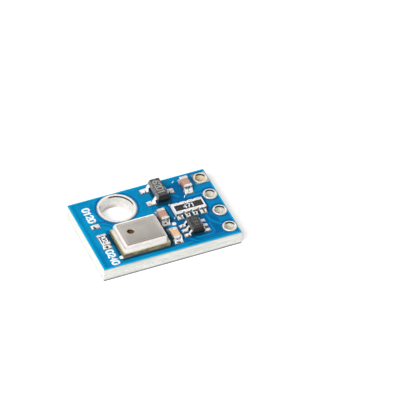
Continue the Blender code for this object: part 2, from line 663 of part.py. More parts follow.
def add_address_row():
    """Three select pads in a row: the back one bare, a resistor across the other two."""
    pad_y = ADDRESS_FRONT_PAD_Y + 2 * ADDRESS_PITCH
    bare = add_mount_point("select_pad", ADDRESS_X, pad_y)
    mound = land(
        ADDRESS_PAD_LENGTH, ADDRESS_PAD_WIDTH, 0, ADDRESS_MOUND_HEIGHT, ADDRESS_MOUND_INSET
    )
    add_part("bare_select_pad", mound, tin_finish(), (0, 0, 0), bare)
    note_opening(bare, 0, ADDRESS_PAD_LENGTH, ADDRESS_PAD_WIDTH, 0.0)

    chip = add_mount_point("address_resistor", ADDRESS_X, ADDRESS_FRONT_PAD_Y + ADDRESS_PITCH / 2)
    middle = SEAT + RESISTOR_HEIGHT / 2
    core_height = RESISTOR_HEIGHT - 2 * CAP_PLATING
    core = block((RESISTOR_WIDTH, RESISTOR_LENGTH - 2 * CAP_PLATING, core_height), (0, 0, middle))
    add_part("address_resistor_body", core, white_ceramic_finish(), (0, 0, 0), chip)
    end = -RESISTOR_LENGTH / 2
    near = -(ADDRESS_PITCH - ADDRESS_PAD_LENGTH) / 2
    far = near - ADDRESS_PAD_LENGTH
    band = near - FIT - end
    coating = block(
        (RESISTOR_WIDTH, RESISTOR_LENGTH - 2 * band - 2 * FIT, COATING_THICKNESS),
        (0, 0, middle + core_height / 2 + COATING_THICKNESS / 2),
    )
    add_part("address_resistor_coating", coating, coating_finish(), (0, 0, 0), chip)
    outline = wrap_outline(end, band, RESISTOR_HEIGHT, end - far - FIT)
    for label, turn in (("front", 0.0), ("back", math.pi)):
        add_wrapped_terminal(
            f"address_resistor_terminal_{label}", chip, 0, turn, outline, RESISTOR_WIDTH,
            ADDRESS_PAD_WIDTH, (near, far),
        )


def moulded_body(length, width, height, draft):
    """A moulded package along Y, widest at its parting line and tapering above and below it."""
    bm = block((width, length, height), (0, 0, height / 2))
    bmesh.ops.bisect_plane(
        bm, geom=bm.verts[:] + bm.edges[:] + bm.faces[:],
        plane_co=(0, 0, height / 2), plane_no=(0, 0, 1),
    )
    for vert in bm.verts:
        inset = draft * abs(2 * vert.co.z / height - 1)
        vert.co.x -= math.copysign(inset, vert.co.x)
        vert.co.y -= math.copysign(inset, vert.co.y)
    bmesh.ops.bevel(bm, geom=bm.edges[:], offset=BODY_EDGE, segments=1, profile=0.5, affect="EDGES")
    return bm


def bent_path(points, radius):
    """The points of a path in the YZ plane with each inner corner turned into an arc."""
    path = [Vector(points[0])]
    for before, corner, after in zip(points, points[1:], points[2:]):
        corner = Vector(corner)
        inwards = (Vector(before) - corner).normalized()
        outwards = (Vector(after) - corner).normalized()
        half = inwards.angle(outwards) / 2
        reach = radius / math.tan(half)
        centre = corner + (inwards + outwards).normalized() * radius / math.sin(half)
        first = (corner + inwards * reach - centre).normalized()
        last = (corner + outwards * reach - centre).normalized()
        for i in range(CORNER_STEPS + 1):
            path.append(centre + first.slerp(last, i / CORNER_STEPS) * radius)
    path.append(Vector(points[-1]))
    return path


def strip_outline(path, thickness):
    """The closed outline of a strip of even thickness that follows the path."""
    upper, lower = [], []
    for i, point in enumerate(path):
        direction = (path[min(i + 1, len(path) - 1)] - path[max(i - 1, 0)]).normalized()
        across = Vector((-direction.y, direction.x)) * thickness / 2
        upper.append(point + across)
        lower.append(point - across)
    return upper + lower[::-1]


def gull_wing(body_width, root_height, span, foot, thickness):
    """Section of a lead towards -Y: out of the body, down, and along its land."""
    face = -body_width / 2
    heel = foot - span / 2
    shoulder = face - (face - heel) * LEAD_SHOULDER
    sole = SEAT + thickness / 2
    inside = face + LEAD_SOCKET
    corners = [(inside, root_height), (shoulder, root_height), (heel, sole), (-span / 2, sole)]
    return strip_outline(bent_path(corners, LEAD_BEND), thickness)


def add_package(name, x, y, size, draft, lift, leads, lead, land_size, finish):
    """A moulded body with gull-wing leads; leads holds (label, place along Y, turn) for each."""
    length, width, height = size
    lead_width, thickness, span, foot = lead
    land_length, land_width, land_reach = land_size
    package = add_mount_point(name, x, y)
    bottom = MASK_TOP + lift
    root = bottom + height / 2
    body = add_part(
        f"{name}_body", moulded_body(length, width, height, draft), finish, (0, 0, bottom), package
    )
    outline = gull_wing(width, root, span, foot, thickness)
    far = -span / 2 - land_reach
    centre = far + land_length / 2
    sockets = []
    for label, along, turn in leads:
        side = round(math.sin(turn))
        place = (0, along, 0)
        base = land(land_length, land_width, centre, LEAD_MOUND_HEIGHT, LEAD_MOUND_INSET)
        made = add_part(f"{name}_lead_{label}", base, tin_finish(), place, package, turn)
        wing = add_cutter(f"{name}_wing_{label}", prism(outline, lead_width), place, package, turn)
        boolean(made, "UNION", wing)
        note_opening(package, centre, land_length, land_width, turn, along * side)
        room = (2 * (LEAD_SOCKET + FIT), lead_width + 2 * FIT, thickness + 2 * FIT)
        sockets.append(block(room, (side * width / 2, along, root)))
    boolean(body, "DIFFERENCE", add_cutter(f"{name}_sockets", gather(sockets), (0, 0, 0), package))


def add_regulator():
    left, right = -math.pi / 2, math.pi / 2
    half = REGULATOR_LEAD_PITCH / 2
    add_package(
        "regulator",
        CAPACITOR_X + REGULATOR_SHIFT,
        BACK - REGULATOR_TO_EDGE - REGULATOR_LENGTH / 2,
        (REGULATOR_LENGTH, REGULATOR_WIDTH, REGULATOR_HEIGHT),
        REGULATOR_DRAFT,
        REGULATOR_LIFT,
        [("1", half, left), ("2", -half, left), ("3", 0.0, right)],
        (REGULATOR_LEAD_WIDTH, REGULATOR_LEAD_THICKNESS, REGULATOR_LEAD_SPAN, REGULATOR_FOOT),
        (REGULATOR_LAND_LENGTH, REGULATOR_LAND_WIDTH, REGULATOR_LAND_REACH),
        moulding_finish(),
    )


def add_transistor():
    left, right = -math.pi / 2, math.pi / 2
    rows = [TRANSISTOR_LEAD_PITCH * (1 - i) for i in range(3)]
    leads = [(str(i + 1), along, left) for i, along in enumerate(rows)]
    leads += [(str(i + 4), along, right) for i, along in enumerate(rows[::-1])]
    add_package(
        "dual_transistor",
        ARRAY_X + TRANSISTOR_SHIFT,
        FRONT + EDGE_TO_TRANSISTOR + TRANSISTOR_LENGTH / 2,
        (TRANSISTOR_LENGTH, TRANSISTOR_WIDTH, TRANSISTOR_HEIGHT),
        TRANSISTOR_DRAFT,
        TRANSISTOR_LIFT,
        leads,
        (TRANSISTOR_LEAD_WIDTH, TRANSISTOR_LEAD_THICKNESS, TRANSISTOR_LEAD_SPAN, TRANSISTOR_FOOT),
        (TRANSISTOR_LAND_LENGTH, TRANSISTOR_LAND_WIDTH, TRANSISTOR_LAND_REACH),
        moulding_finish(),
    )


def main():
    for leftover in list(bpy.data.objects):
        bpy.data.objects.remove(leftover, do_unlink=True)
    bpy.context.scene.collection.children.link(PARTS)
    bpy.context.scene.collection.children.link(CUTTERS)

    add_sensor()
    add_capacitor(
        "back_capacitor", ARRAY_X + BACK_CAPACITOR_SHIFT,
        BACK - BACK_CAPACITOR_TO_EDGE - CAPACITOR_LENGTH / 2, CAPACITOR_HEIGHT,
        pink_ceramic_finish(),
    )
    add_capacitor(
        "middle_capacitor", CAPACITOR_X, CAPACITOR_Y, CAPACITOR_HEIGHT, pink_ceramic_finish()
    )
    add_capacitor(
        "front_capacitor", CAPACITOR_X + LOW_CAPACITOR_SHIFT,
        FRONT + EDGE_TO_LOW_CAPACITOR + CAPACITOR_LENGTH / 2, LOW_CAPACITOR_HEIGHT,
        tan_ceramic_finish(),
    )
    add_array()
    add_address_row()
    add_regulator()
    add_transistor()
    add_board()


main()
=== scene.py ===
"""Looks of the temperature and humidity sensor module.

Units are metres, +Z is up, and places are in the part's own frame: the origin is at the centre of
the board's underside, +X points to the row of pin holes and +Y to the mounting hole.
"""

import json
import math

import bmesh
import bpy
import numpy as np
from mathutils import Matrix, Vector, noise

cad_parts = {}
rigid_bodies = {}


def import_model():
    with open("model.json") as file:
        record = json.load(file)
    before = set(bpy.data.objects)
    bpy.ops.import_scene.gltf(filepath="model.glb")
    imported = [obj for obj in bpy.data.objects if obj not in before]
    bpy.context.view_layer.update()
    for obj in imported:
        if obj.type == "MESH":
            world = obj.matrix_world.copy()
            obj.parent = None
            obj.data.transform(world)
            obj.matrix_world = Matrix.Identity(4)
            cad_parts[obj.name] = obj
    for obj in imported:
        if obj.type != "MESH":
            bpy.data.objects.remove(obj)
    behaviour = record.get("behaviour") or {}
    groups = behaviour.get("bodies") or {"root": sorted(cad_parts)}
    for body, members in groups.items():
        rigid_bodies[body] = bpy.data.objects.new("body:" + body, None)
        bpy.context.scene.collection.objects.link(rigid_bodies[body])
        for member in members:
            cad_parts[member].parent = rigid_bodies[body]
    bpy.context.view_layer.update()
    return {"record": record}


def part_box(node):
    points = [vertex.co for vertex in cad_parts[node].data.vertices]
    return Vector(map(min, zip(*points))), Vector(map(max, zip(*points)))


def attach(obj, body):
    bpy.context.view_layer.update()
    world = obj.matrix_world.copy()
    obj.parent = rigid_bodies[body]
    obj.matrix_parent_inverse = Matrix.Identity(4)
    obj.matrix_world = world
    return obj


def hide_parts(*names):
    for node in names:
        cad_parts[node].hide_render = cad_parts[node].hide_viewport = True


MM = 0.001
WELD = 1e-8  # metres within which doubled verts are one

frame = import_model()

# Camera
LENS = 357.7
SENSOR_WIDTH = 36
TARGET = Vector((5.76, -0.54, 1.62)) * MM
DISTANCE = 424.7 * MM
AZIMUTH = -25.57  # degrees from -Y, towards +X when positive
ELEVATION = 44.23
ROLL = 3.04

# Light
LAMP_PLACE = Vector((-0.38, -0.28, 0.50))
LAMP_SIZE = (0.45, 0.35)
LAMP_WATTS = 5.1
WHITE = (1.0, 1.0, 1.0)
FLOOR_SIZE = 3.0
FLOOR_GREY = (0.82, 0.82, 0.82)
FLOOR_GLOW = 0.29

# Levels above the floor
LAMINATE_TOP = 1.59 * MM
LAND_FOOT = 1.615 * MM  # where the tin's rounded edge meets the side of its land
SEAT = 1.63 * MM
LID_LEAN = 0.2 * MM  # how much less the lid's shoulder reaches in at the front
HALF_LENGTH = 7.6 * MM  # half the length of the board

# Colours as linear RGB
MASK_LIGHT = (0.0, 0.30, 0.555)
MASK_LIGHT_RIGHT = (0.0, 0.232, 0.495)
MASK_DARK = (0.0, 0.145, 0.38)
MASK_SHADOW = (0.004, 0.045, 0.085)
MASK_EDGE_HIGHLIGHT = (0.0, 0.37, 0.66)
LAMINATE = (0.74, 0.74, 0.725)
LAMINATE_THREAD = (0.68, 0.68, 0.58)
LAMINATE_GRAIN = (0.93, 0.93, 0.91)
LAMINATE_STREAK_AND_SHADE = (0.40, 0.41, 0.40)
TIN = (0.97, 0.96, 0.94)
WARM_TIN = (0.95, 0.93, 0.87)
BARREL_TIN = (0.71, 0.69, 0.66)
CREAM = (1.0, 0.96, 0.86)
GOLD_TIN = (1.0, 0.87, 0.62)
TARNISH_AND_SHADE = (0.30, 0.26, 0.19)
BARE_TIN = (0.62, 0.49, 0.32)
FLUX_AND_SHADE = (0.10, 0.085, 0.07)
CERAMIC_FRONT_SHADE = (0.09, 0.08, 0.07)
MARK = (0.48, 0.47, 0.43)
SUBSTRATE_TOP = (0.50, 0.48, 0.29)
SUBSTRATE_SIDE = (0.24, 0.19, 0.10)
SUBSTRATE_LAYER = (0.40, 0.34, 0.18)
MOULDING = (0.041, 0.041, 0.042)
CERAMIC = (0.94, 0.94, 0.93)
SILICON = (0.24, 0.13, 0.045)
GLAZE = (0.022, 0.021, 0.022)
PINK = (0.53, 0.295, 0.215)
TAN = (0.80, 0.53, 0.32)
LID = (0.75, 0.70, 0.64)
LID_SIDE_LIT = (0.81, 0.755, 0.715)
LID_RIM_SHADE = (0.30, 0.23, 0.17)
LID_GROOVE_SHADE = (0.34, 0.35, 0.32)
LID_CREASE_SHADE = (0.48, 0.44, 0.41)
LID_HIGHLIGHT = (1.0, 0.98, 0.95)
INK = (0.93, 0.95, 0.96)
INK_THIN = (0.778, 0.842, 0.896)


def corners(node):
    """The lowest and the highest corner of a solid's box."""
    low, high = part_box(node)
    return Vector(low), Vector(high)


class Nodes:
    """Short calls for the nodes of a material or of the world."""

    def __init__(self, tree):
        self.tree = tree

    def add(self, kind, inputs=None, **settings):
        node = self.tree.nodes.new(kind)
        for key, value in settings.items():
            setattr(node, key, value)
        for key, value in (inputs or {}).items():
            self.feed(node.inputs[key], value)
        return node

    def feed(self, socket, value):
        if isinstance(value, bpy.types.NodeSocket):
            self.tree.links.new(value, socket)
        else:
            socket.default_value = value

    def ramp(self, factor, low, high, start=0.0, end=1.0, **settings):
        """The factor mapped from low..high to start..end, clamped."""
        inputs = {
            "Value": factor, "From Min": low, "From Max": high, "To Min": start, "To Max": end,
        }
        return self.add("ShaderNodeMapRange", inputs, **settings).outputs["Result"]

    def math(self, operation, first, second=0.0):
        node = self.add("ShaderNodeMath", operation=operation)
        self.feed(node.inputs[0], first)
        self.feed(node.inputs[1], second)
        return node.outputs["Value"]

    def times(self, first, second):
        return self.math("MULTIPLY", first, second)

    def minus(self, first, second):
        return self.math("SUBTRACT", first, second)

    def apart(self, first, second):
        return self.math("ABSOLUTE", self.minus(first, second))


class Finish(Nodes):
    """A material in the making."""

    def __init__(self, name, colour, roughness=0.5, metallic=0.0):
        self.material = bpy.data.materials.new(name)
        self.material.use_nodes = True
        super().__init__(self.material.node_tree)
        self.shader = self.tree.nodes["Principled BSDF"]
        self.colour = colour
        self.set("Base Color", (*colour, 1.0))
        self.set("Roughness", roughness)
        self.set("Metallic", metallic)
        self.place = self.add("ShaderNodeTexCoord").outputs["Object"]
        self.normal = None

    def set(self, name, value):
        self.feed(self.shader.inputs[name], value)

    def vary(self, name, factor, low, high):
        """Lets the shader's value run from low to high as the factor runs from 0 to 1."""
        self.set(name, self.ramp(factor, 0.0, 1.0, low, high))

    def stretched(self, per_mm):
        """Object coordinates in pattern units: so many to the millimetre, in all or per axis."""
        counts = per_mm if isinstance(per_mm, tuple) else (per_mm, per_mm, per_mm)
        scale = [count / MM for count in counts]
        mapping = self.add("ShaderNodeMapping", {"Vector": self.place, "Scale": scale})
        return mapping.outputs["Vector"]

    def noise(self, per_mm, detail=3.0, roughness=0.55, distortion=0.0):
        inputs = {
            "Vector": self.stretched(per_mm), "Scale": 1.0, "Detail": detail,
            "Roughness": roughness, "Distortion": distortion,
        }
        return self.add("ShaderNodeTexNoise", inputs).outputs["Fac"]

    def patches(self, per_mm, detail, low, high, start=0.0, end=1.0, roughness=0.55):
        """Patches of noise, with its range from low to high mapped to start..end."""
        return self.ramp(self.noise(per_mm, detail, roughness), low, high, start, end)

    def cells(self, per_mm, low, high, start=0.0, end=1.0, feature="F1"):
        """Cells, with the distance from their centres or edges mapped to start..end."""
        inputs = {"Vector": self.stretched(per_mm), "Scale": 1.0}
        node = self.add("ShaderNodeTexVoronoi", inputs, feature=feature)
        return self.ramp(node.outputs["Distance"], low, high, start, end)

    def mix(self, factor, first, second):
        node = self.add("ShaderNodeMix", data_type="RGBA")
        self.feed(node.inputs["Factor"], factor)
        for name, value in (("A", first), ("B", second)):
            socket = next(s for s in node.inputs if s.name == name and s.type == "RGBA")
            self.feed(socket, (*value, 1.0) if isinstance(value, tuple) else value)
        return next(s for s in node.outputs if s.type == "RGBA")

    def shades(self, factor, colour, first, second):
        """From one shade of the colour to another as the factor runs from 0 to 1."""
        return self.mix(factor, shade(colour, first), shade(colour, second))

    def tint(self, share, colour):
        """Lays a share of the colour over what the material has so far."""
        self.colour = self.mix(share, self.colour, colour)
        self.set("Base Color", self.colour)

    def attribute(self, name):
        return self.add("ShaderNodeAttribute", attribute_name=name).outputs["Fac"]

    def facing(self, axis):
        """How much the surface looks along the named axis, from -1 to 1."""
        normal = self.add("ShaderNodeNewGeometry").outputs["Normal"]
        return self.add("ShaderNodeSeparateXYZ", {"Vector": normal}).outputs[axis]

    def turned(self, axis, low, high, start=0.0, end=1.0):
        """A change with the way the surface looks."""
        return self.ramp(self.facing(axis), low, high, start, end)

    def along(self, axis):
        """The object coordinate along the named axis, in metres."""
        return self.add("ShaderNodeSeparateXYZ", {"Vector": self.place}).outputs[axis]

    def level(self, low, high, start=1.0, end=0.0):
        """A change with height, between two levels in metres."""
        return self.ramp(self.along("Z"), low, high, start, end)

    def bump(self, height, microns, strength=1.0):
        inputs = {"Height": height, "Distance": microns * MM / 1000, "Strength": strength}
        if self.normal:
            inputs["Normal"] = self.normal
        self.normal = self.add("ShaderNodeBump", inputs).outputs["Normal"]
        self.set("Normal", self.normal)


def shade(colour, factor):
    return tuple(channel * factor for channel in colour)


def mask_finish():
    """Glossy blue mask: pale over copper, deeper over bare laminate, with painted shadow and edge
    highlight.
    """
    made = Finish("blue_mask", MASK_LIGHT, 0.3)
    across = made.ramp(made.along("X"), -HALF_LENGTH, HALF_LENGTH)
    over_bare = made.shades(across, MASK_DARK, 1.0, 0.82)
    made.tint(across, MASK_LIGHT_RIGHT)
    made.tint(made.minus(1.0, made.attribute("copper")), over_bare)
    made.tint(made.patches(0.9, 4, 0.42, 0.72, end=0.4), over_bare)
    made.tint(made.patches(2.8, 5, 0.4, 0.66, end=0.3, roughness=0.7), shade(MASK_DARK, 0.8))
    diagonal = made.math("ADD", made.along("X"), made.along("Y"))
    made.tint(made.ramp(diagonal, -11.5 * MM, -8 * MM, 0.4, 0.0), over_bare)
    # Painted contact shadow beside the parts
    made.tint(made.times(made.attribute("shadow"), 0.92), MASK_SHADOW)
    # Painted highlight along the cut edge of the board
    made.tint(made.attribute("rim"), MASK_EDGE_HIGHLIGHT)
    made.set("Roughness", made.patches(6, 3, 0.3, 0.7, 0.22, 0.38))
    made.set("Specular IOR Level", 0.08)
    made.bump(made.noise(2.2, 2), 6, 0.6)
    made.bump(made.noise(14, 2), 1.2, 0.6)
    return made.material


def plain_mask_finish():
    """The same mask on the underside, where no relief shows, with a painted contact shadow on its
    sides.
    """
    made = Finish("blue_mask_underside", MASK_LIGHT, 0.3)
    made.tint(made.patches(0.7, 4, 0.3, 0.7, 1.0, 0.0), shade(MASK_LIGHT, 0.7))
    # Painted contact shadow on the sides of the underside mask
    made.tint(made.turned("Z", -0.9, -0.6), MASK_SHADOW)
    made.set("Roughness", made.patches(6, 3, 0.3, 0.7, 0.22, 0.38))
    made.bump(made.noise(2.2, 2), 6, 0.6)
    return made.material


def laminate_finish():
    """Sawn glass-fibre laminate: pale resin, long fibre bundles, and at the front dark streaks, a
    dark line under the mask and a painted shadow along its foot.
    """
    made = Finish("laminate", LAMINATE, 0.62)
    bundles = made.cells((1.1, 1.1, 6.5), 0.25, 0.75)
    made.colour = made.shades(bundles, LAMINATE, 1.08, 0.84)
    made.tint(made.patches((1.6, 1.6, 22), 5, 0.35, 0.68, roughness=0.65), LAMINATE_THREAD)
    grain = made.patches((9, 9, 14), 4, 0.38, 0.66, roughness=0.7)
    made.tint(made.times(grain, 0.65), LAMINATE_GRAIN)
    front = made.turned("Y", -0.9, -0.4, 1.0, 0.3)
    streaks = made.patches((0.3, 0.3, 7.0), 5, 0.43, 0.66, end=0.6, roughness=0.65)
    flecks = made.patches((3.0, 3.0, 8), 4, 0.54, 0.62, end=0.8, roughness=0.7)
    from_middle = made.apart(made.along("Z"), 0.62 * MM)
    flecks = made.times(flecks, made.ramp(from_middle, 0.12 * MM, 0.34 * MM, 1.0, 0.0))
    # Painted contact shadow along the foot, and a dark line just under the mask
    foot_shadow = made.level(0.12 * MM, 0.26 * MM)
    high_edge = made.level(1.46 * MM, 1.55 * MM, 0.0, 0.75)
    edges = made.math("MAXIMUM", foot_shadow, high_edge)
    for share, darkness in ((streaks, 1.0), (flecks, 0.8), (edges, 0.32)):
        made.tint(made.times(share, front), shade(LAMINATE_STREAK_AND_SHADE, darkness))
    made.vary("Roughness", grain, 0.5, 0.75)
    made.bump(made.noise((3, 3, 26), 4, 0.7), 18, 0.8)
    made.bump(made.noise(24, 2), 6, 0.6)
    return made.material


def tin_finish(name, colour, side_shades=(0.72, 0.14), flux_and_shade_share=0.85):
    """Melted solder and tin: white on top, with painted shade on its sides and low on its front,
    and dark flecks and spots.
    """
    made = Finish(name, colour, 0.24, 0.2)
    patches = made.patches(3.5, 4, 0.35, 0.68)
    made.tint(patches, shade(colour, 0.9))
    streaks = made.patches((6, 6, 1.2), 3, 0.42, 0.58, roughness=0.6)
    # Painted shade: the sides are darker copies of the tin
    made.tint(made.turned("Z", 0.1, 0.45, 1.0, 0.0), made.shades(streaks, colour, *side_shades))
    # Dark flecks in the colour of flux: painted shade and dark reflection
    made.tint(made.ramp(made.noise(4.2, 3, 0.5, 0.3), 0.585, 0.65, 0.0, flux_and_shade_share), FLUX_AND_SHADE)
    made.tint(made.level(LAND_FOOT + 0.01 * MM, LAND_FOOT + 0.055 * MM, 0.85), BARE_TIN)
    # Painted shade low on the front faces, in the colour of flux
    low = made.level(SEAT + 0.03 * MM, SEAT + 0.11 * MM)
    made.tint(made.times(made.turned("Y", -0.6, -0.2, 0.75, 0.0), low), FLUX_AND_SHADE)
    # Darker spots at the listed places: partly flux and partly painted shade
    ragged = made.patches(8, 3, 0.36, 0.58, 0.6, 2.8, roughness=0.6)
    made.tint(made.ramp(made.times(made.attribute("flux_and_shade_share"), ragged), 0.35, 0.9), shade(FLUX_AND_SHADE, 0.6))
    made.vary("Metallic", patches, 0.12, 0.5)
    made.vary("Roughness", patches, 0.14, 0.34)
    made.bump(made.noise(5, 2, 0.5, 0.4), 14, 0.8)
    made.bump(made.noise(30, 2), 1.0, 0.4)
    return made.material


def ring_finish(name, depths, speckle=0.66, lit_side=0.0):
    """Plated holes: smooth lands tarnished at their edges with painted shade on the lip, and a
    speckled barrel with painted light and shadow.
    """
    made = Finish(name, WARM_TIN, 0.2, 0.2)
    deep = made.level(1.54 * MM, 1.6 * MM)
    patches = made.patches(2.5, 3, 0.35, 0.68)
    made.tint(patches, shade(WARM_TIN, 0.9))
    grains = made.patches((7, 7, 4), 4, 0.42, 0.6, roughness=0.75)
    barrel = made.shades(grains, depths, 1.0, speckle)
    # Painted light: the barrel's walls that face +X are paler
    made.tint(deep, made.mix(made.turned("X", -0.3, 0.9, 0.0, lit_side), barrel, TIN))
    # Painted contact shadow low on the barrel's front and back walls, by the floor
    aside = made.ramp(made.apart(made.facing("X"), 0.05), 0.15, 0.5, 0.8, 0.0)
    made.tint(made.times(made.level(0.05 * MM, 0.65 * MM), aside), TARNISH_AND_SHADE)
    worn = made.patches(1.1, 2, 0.35, 0.6, 0.5, 0.9)
    made.tint(made.times(made.attribute("edge"), worn), TARNISH_AND_SHADE)
    # Painted shade within the lip's arcs: nearly black and dull
    lip_shade = made.attribute("lip_shade")
    made.tint(made.times(lip_shade, 0.97), shade(TARNISH_AND_SHADE, 0.08))
    made.vary("Metallic", deep, 0.18, 0.08)
    gloss = made.ramp(patches, 0.0, 1.0, 0.2, 0.36)
    made.set("Roughness", made.math("MAXIMUM", gloss, lip_shade))
    made.bump(made.noise((2.5, 2.5, 1.2), 2), 8, 0.5)
    return made.material


def lid_finish():
    """Drawn nickel-silver lid: satin, with rolling lines and clouds, painted light on its walls and
    painted lines of shade and light.
    """
    made = Finish("lid_metal", LID, 0.36, 0.68)
    low, high = corners("sensor_lid")
    x, y = made.along("X"), made.along("Y")
    from_front = made.minus(y, low.y)
    from_back = made.minus(high.y, y)
    from_side = made.math("MINIMUM", made.minus(x, low.x), made.minus(high.x, x))
    from_rim = made.math("MINIMUM", made.math("ADD", from_front, LID_LEAN), from_side)
    below_top = made.minus(high.z, made.along("Z"))
    lines = made.patches((0.25, 26, 8), 3, 0.35, 0.65, roughness=0.6)
    made.tint(made.patches(0.8, 3, 0.35, 0.7), shade(LID, 0.86))
    made.tint(made.times(lines, 0.25), shade(LID, 0.7))
    made.tint(made.ramp(from_front, 0.0, 2.0 * MM, 0.6, 0.0), shade(LID, 0.55))
    # The walls: a paler, less metallic copy of the top's metal, painted light
    stains = made.patches((1.5, 1.5, 3), 4, 0.35, 0.7, roughness=0.6)
    side = made.shades(stains, LID_SIDE_LIT, 1.05, 0.84)
    made.tint(made.turned("Z", 0.8, 0.98, 1.0, 0.0), side)
    left = made.turned("X", -0.8, -0.3, 0.75, 0.12)
    inward = made.ramp(from_side, 0.5 * MM, 0.62 * MM, 0.0, 0.8)
    on_top = made.ramp(from_side, 0.24 * MM, 0.32 * MM)
    # Painted lines: shade along the rim, the front shoulder, the groove and the left crease, and a
    # highlight along the back
    for distance, share, place, width, colour in (
        (from_rim, 0.4, 0.33, 0.09, LID_RIM_SHADE),
        (from_front, made.times(on_top, 0.85), 0.14, 0.12, LID_RIM_SHADE),
        (from_back, on_top, 0.28, 0.16, LID_HIGHLIGHT),
        (from_front, inward, 0.36, 0.13, LID_GROOVE_SHADE),
        (below_top, left, 0.36, 0.34, LID_CREASE_SHADE),
    ):
        away = made.apart(distance, place * MM)
        line = made.ramp(away, width * 0.3 * MM, width * 0.7 * MM, 1.0, 0.0)
        made.tint(made.times(line, share), colour)
    # Painted highlight on the faces that turn to the back and to the right
    lit = made.math("MAXIMUM", made.turned("Y", 0.15, 0.45), made.turned("X", 0.2, 0.5, 0.0, 0.7))
    made.tint(lit, LID_HIGHLIGHT)
    made.set("Metallic", made.turned("Z", 0.8, 0.98, 0.15, 0.6))
    made.vary("Roughness", lines, 0.33, 0.43)
    made.bump(made.noise((0.3, 30, 10), 2), 1.0, 0.6)
    made.bump(made.noise(16, 2), 0.8, 0.6)
    return made.material


def substrate_finish():
    """The sensor's own laminate: olive on top, brown on its cut sides, darker at their foot, with
    painted shade under the lid.
    """
    made = Finish("substrate", SUBSTRATE_TOP, 0.5)
    low, high = corners("sensor_substrate")
    layers = made.patches((1.2, 1.2, 14), 4, 0.35, 0.65, roughness=0.6)
    made.colour = made.mix(layers, SUBSTRATE_SIDE, SUBSTRATE_LAYER)
    foot = made.level(low.z, low.z + 0.22 * MM, 0.85)
    # Painted shade on the sides just under the lid's edge
    under_lid = made.level(high.z - 0.12 * MM, high.z - 0.04 * MM, 0.0, 0.85)
    patches = made.patches((1.1, 1.1, 3), 4, 0.39, 0.56, end=0.8, roughness=0.65)
    for share, darkness in ((foot, 0.3), (under_lid, 0.6), (patches, 0.32)):
        made.tint(share, shade(SUBSTRATE_SIDE, darkness))
    top = made.shades(made.patches(2.2, 4, 0.35, 0.65), SUBSTRATE_TOP, 1.0, 0.82)
    made.tint(made.turned("Z", 0.4, 0.8), top)
    made.vary("Roughness", layers, 0.4, 0.6)
    made.bump(made.noise((2, 2, 18), 3), 6, 0.6)
    return made.material


def moulding_finish(name, colour):
    """Black moulding compound: sandy grey, with painted light on its left faces and painted shade
    on its front faces.
    """
    made = Finish(name, colour, 0.5)
    grain = made.patches(4.6, 5, 0.4, 0.62, roughness=0.8)
    made.colour = made.shades(grain, colour, 0.6, 3.6)
    made.tint(made.cells(9, 0.0, 0.3, 0.4, 0.0), shade(colour, 5.2))
    # Painted light: the left faces are a lighter grey
    made.tint(made.turned("X", -0.9, -0.4, 1.0, 0.0), made.shades(grain, colour, 2.6, 6.0))
    # Painted shade on the front faces
    made.tint(made.turned("Y", -0.75, -0.35, 1.0, 0.0), shade(colour, 0.3))
    made.vary("Roughness", grain, 0.42, 0.62)
    made.set("Specular IOR Level", 0.4)
    made.bump(made.noise(6, 4, 0.7), 22, 0.9)
    return made.material


def ceramic_finish(name, colour, ends=None, foot_shade=0.0):
    """Fired ceramic: even in colour, with a fine tooth and small pits, painted shade low on its
    sides and on its front faces if given.
    """
    made = Finish(name, colour, 0.42)
    clouds = made.patches(4, 4, 0.35, 0.68)
    made.colour = made.shades(clouds, colour, 1.05, 0.9)
    # Painted shade on the front faces, where its colour is given
    if ends:
        made.tint(made.turned("Y", -0.9, -0.5, 0.85, 0.0), ends)
    # Painted shade low on the sides
    low = made.level(SEAT, SEAT + 0.5 * MM)
    made.tint(made.times(made.turned("Z", 0.3, 0.6, foot_shade, 0.0), low), shade(colour, 0.15))
    made.tint(made.cells(12, 0.0, 0.22, 0.3, 0.0), shade(colour, 0.6))
    made.vary("Roughness", clouds, 0.34, 0.52)
    made.bump(made.noise(18, 3), 3, 0.7)
    return made.material


def silicon_finish():
    """Bare die: dark brown glassy film with a fine grid of metal."""
    made = Finish("silicon", SILICON, 0.3, 0.1)
    grid = made.cells(8, 0.0, 0.08, 1.0, 0.0, "DISTANCE_TO_EDGE")
    made.tint(grid, shade(SILICON, 1.8))
    made.vary("Roughness", grid, 0.2, 0.4)
    made.bump(grid, 1.5, 0.5)
    return made.material


def film_finish(name, colour, other, patches, rough, tooth):
    """A thin film of glaze, ink or scorched moulding, uneven in its colour and its gloss."""
    made = Finish(name, colour)
    uneven = made.patches(*patches)
    made.tint(uneven, other)
    made.vary("Roughness", uneven, *rough)
    per_mm, detail, microns, strength = tooth
    made.bump(made.noise(per_mm, detail), microns, strength)
    return made.material


def mark_finish(name, colour):
    """Laser mark on moulding compound: pale, scorched and grainy."""
    patches = (14, 4, 0.4, 0.7, 0.0, 1.0, 0.7)
    return film_finish(name, colour, shade(colour, 0.45), patches, (0.6, 0.8), (20, 3, 3, 0.8))


FINISHES = {
    "laminate": laminate_finish(),
    "blue_mask": plain_mask_finish(),
    "tin": tin_finish("tin", TIN),
    "lid_metal": lid_finish(),
    "substrate": substrate_finish(),
    "silicon": silicon_finish(),
    "black_moulding": moulding_finish("black_moulding", MOULDING),
    "white_ceramic": ceramic_finish("white_ceramic", CERAMIC, ends=CERAMIC_FRONT_SHADE),
    "resistor_coating": film_finish(
        "resistor_coating", GLAZE, shade(GLAZE, 2.2), (5, 4, 0.35, 0.68), (0.25, 0.42),
        (7, 3, 4, 0.8),
    ),
    "pink_ceramic": ceramic_finish("pink_ceramic", PINK, foot_shade=0.8),
    "tan_ceramic": ceramic_finish("tan_ceramic", TAN, foot_shade=0.9),
}
MASK = mask_finish()
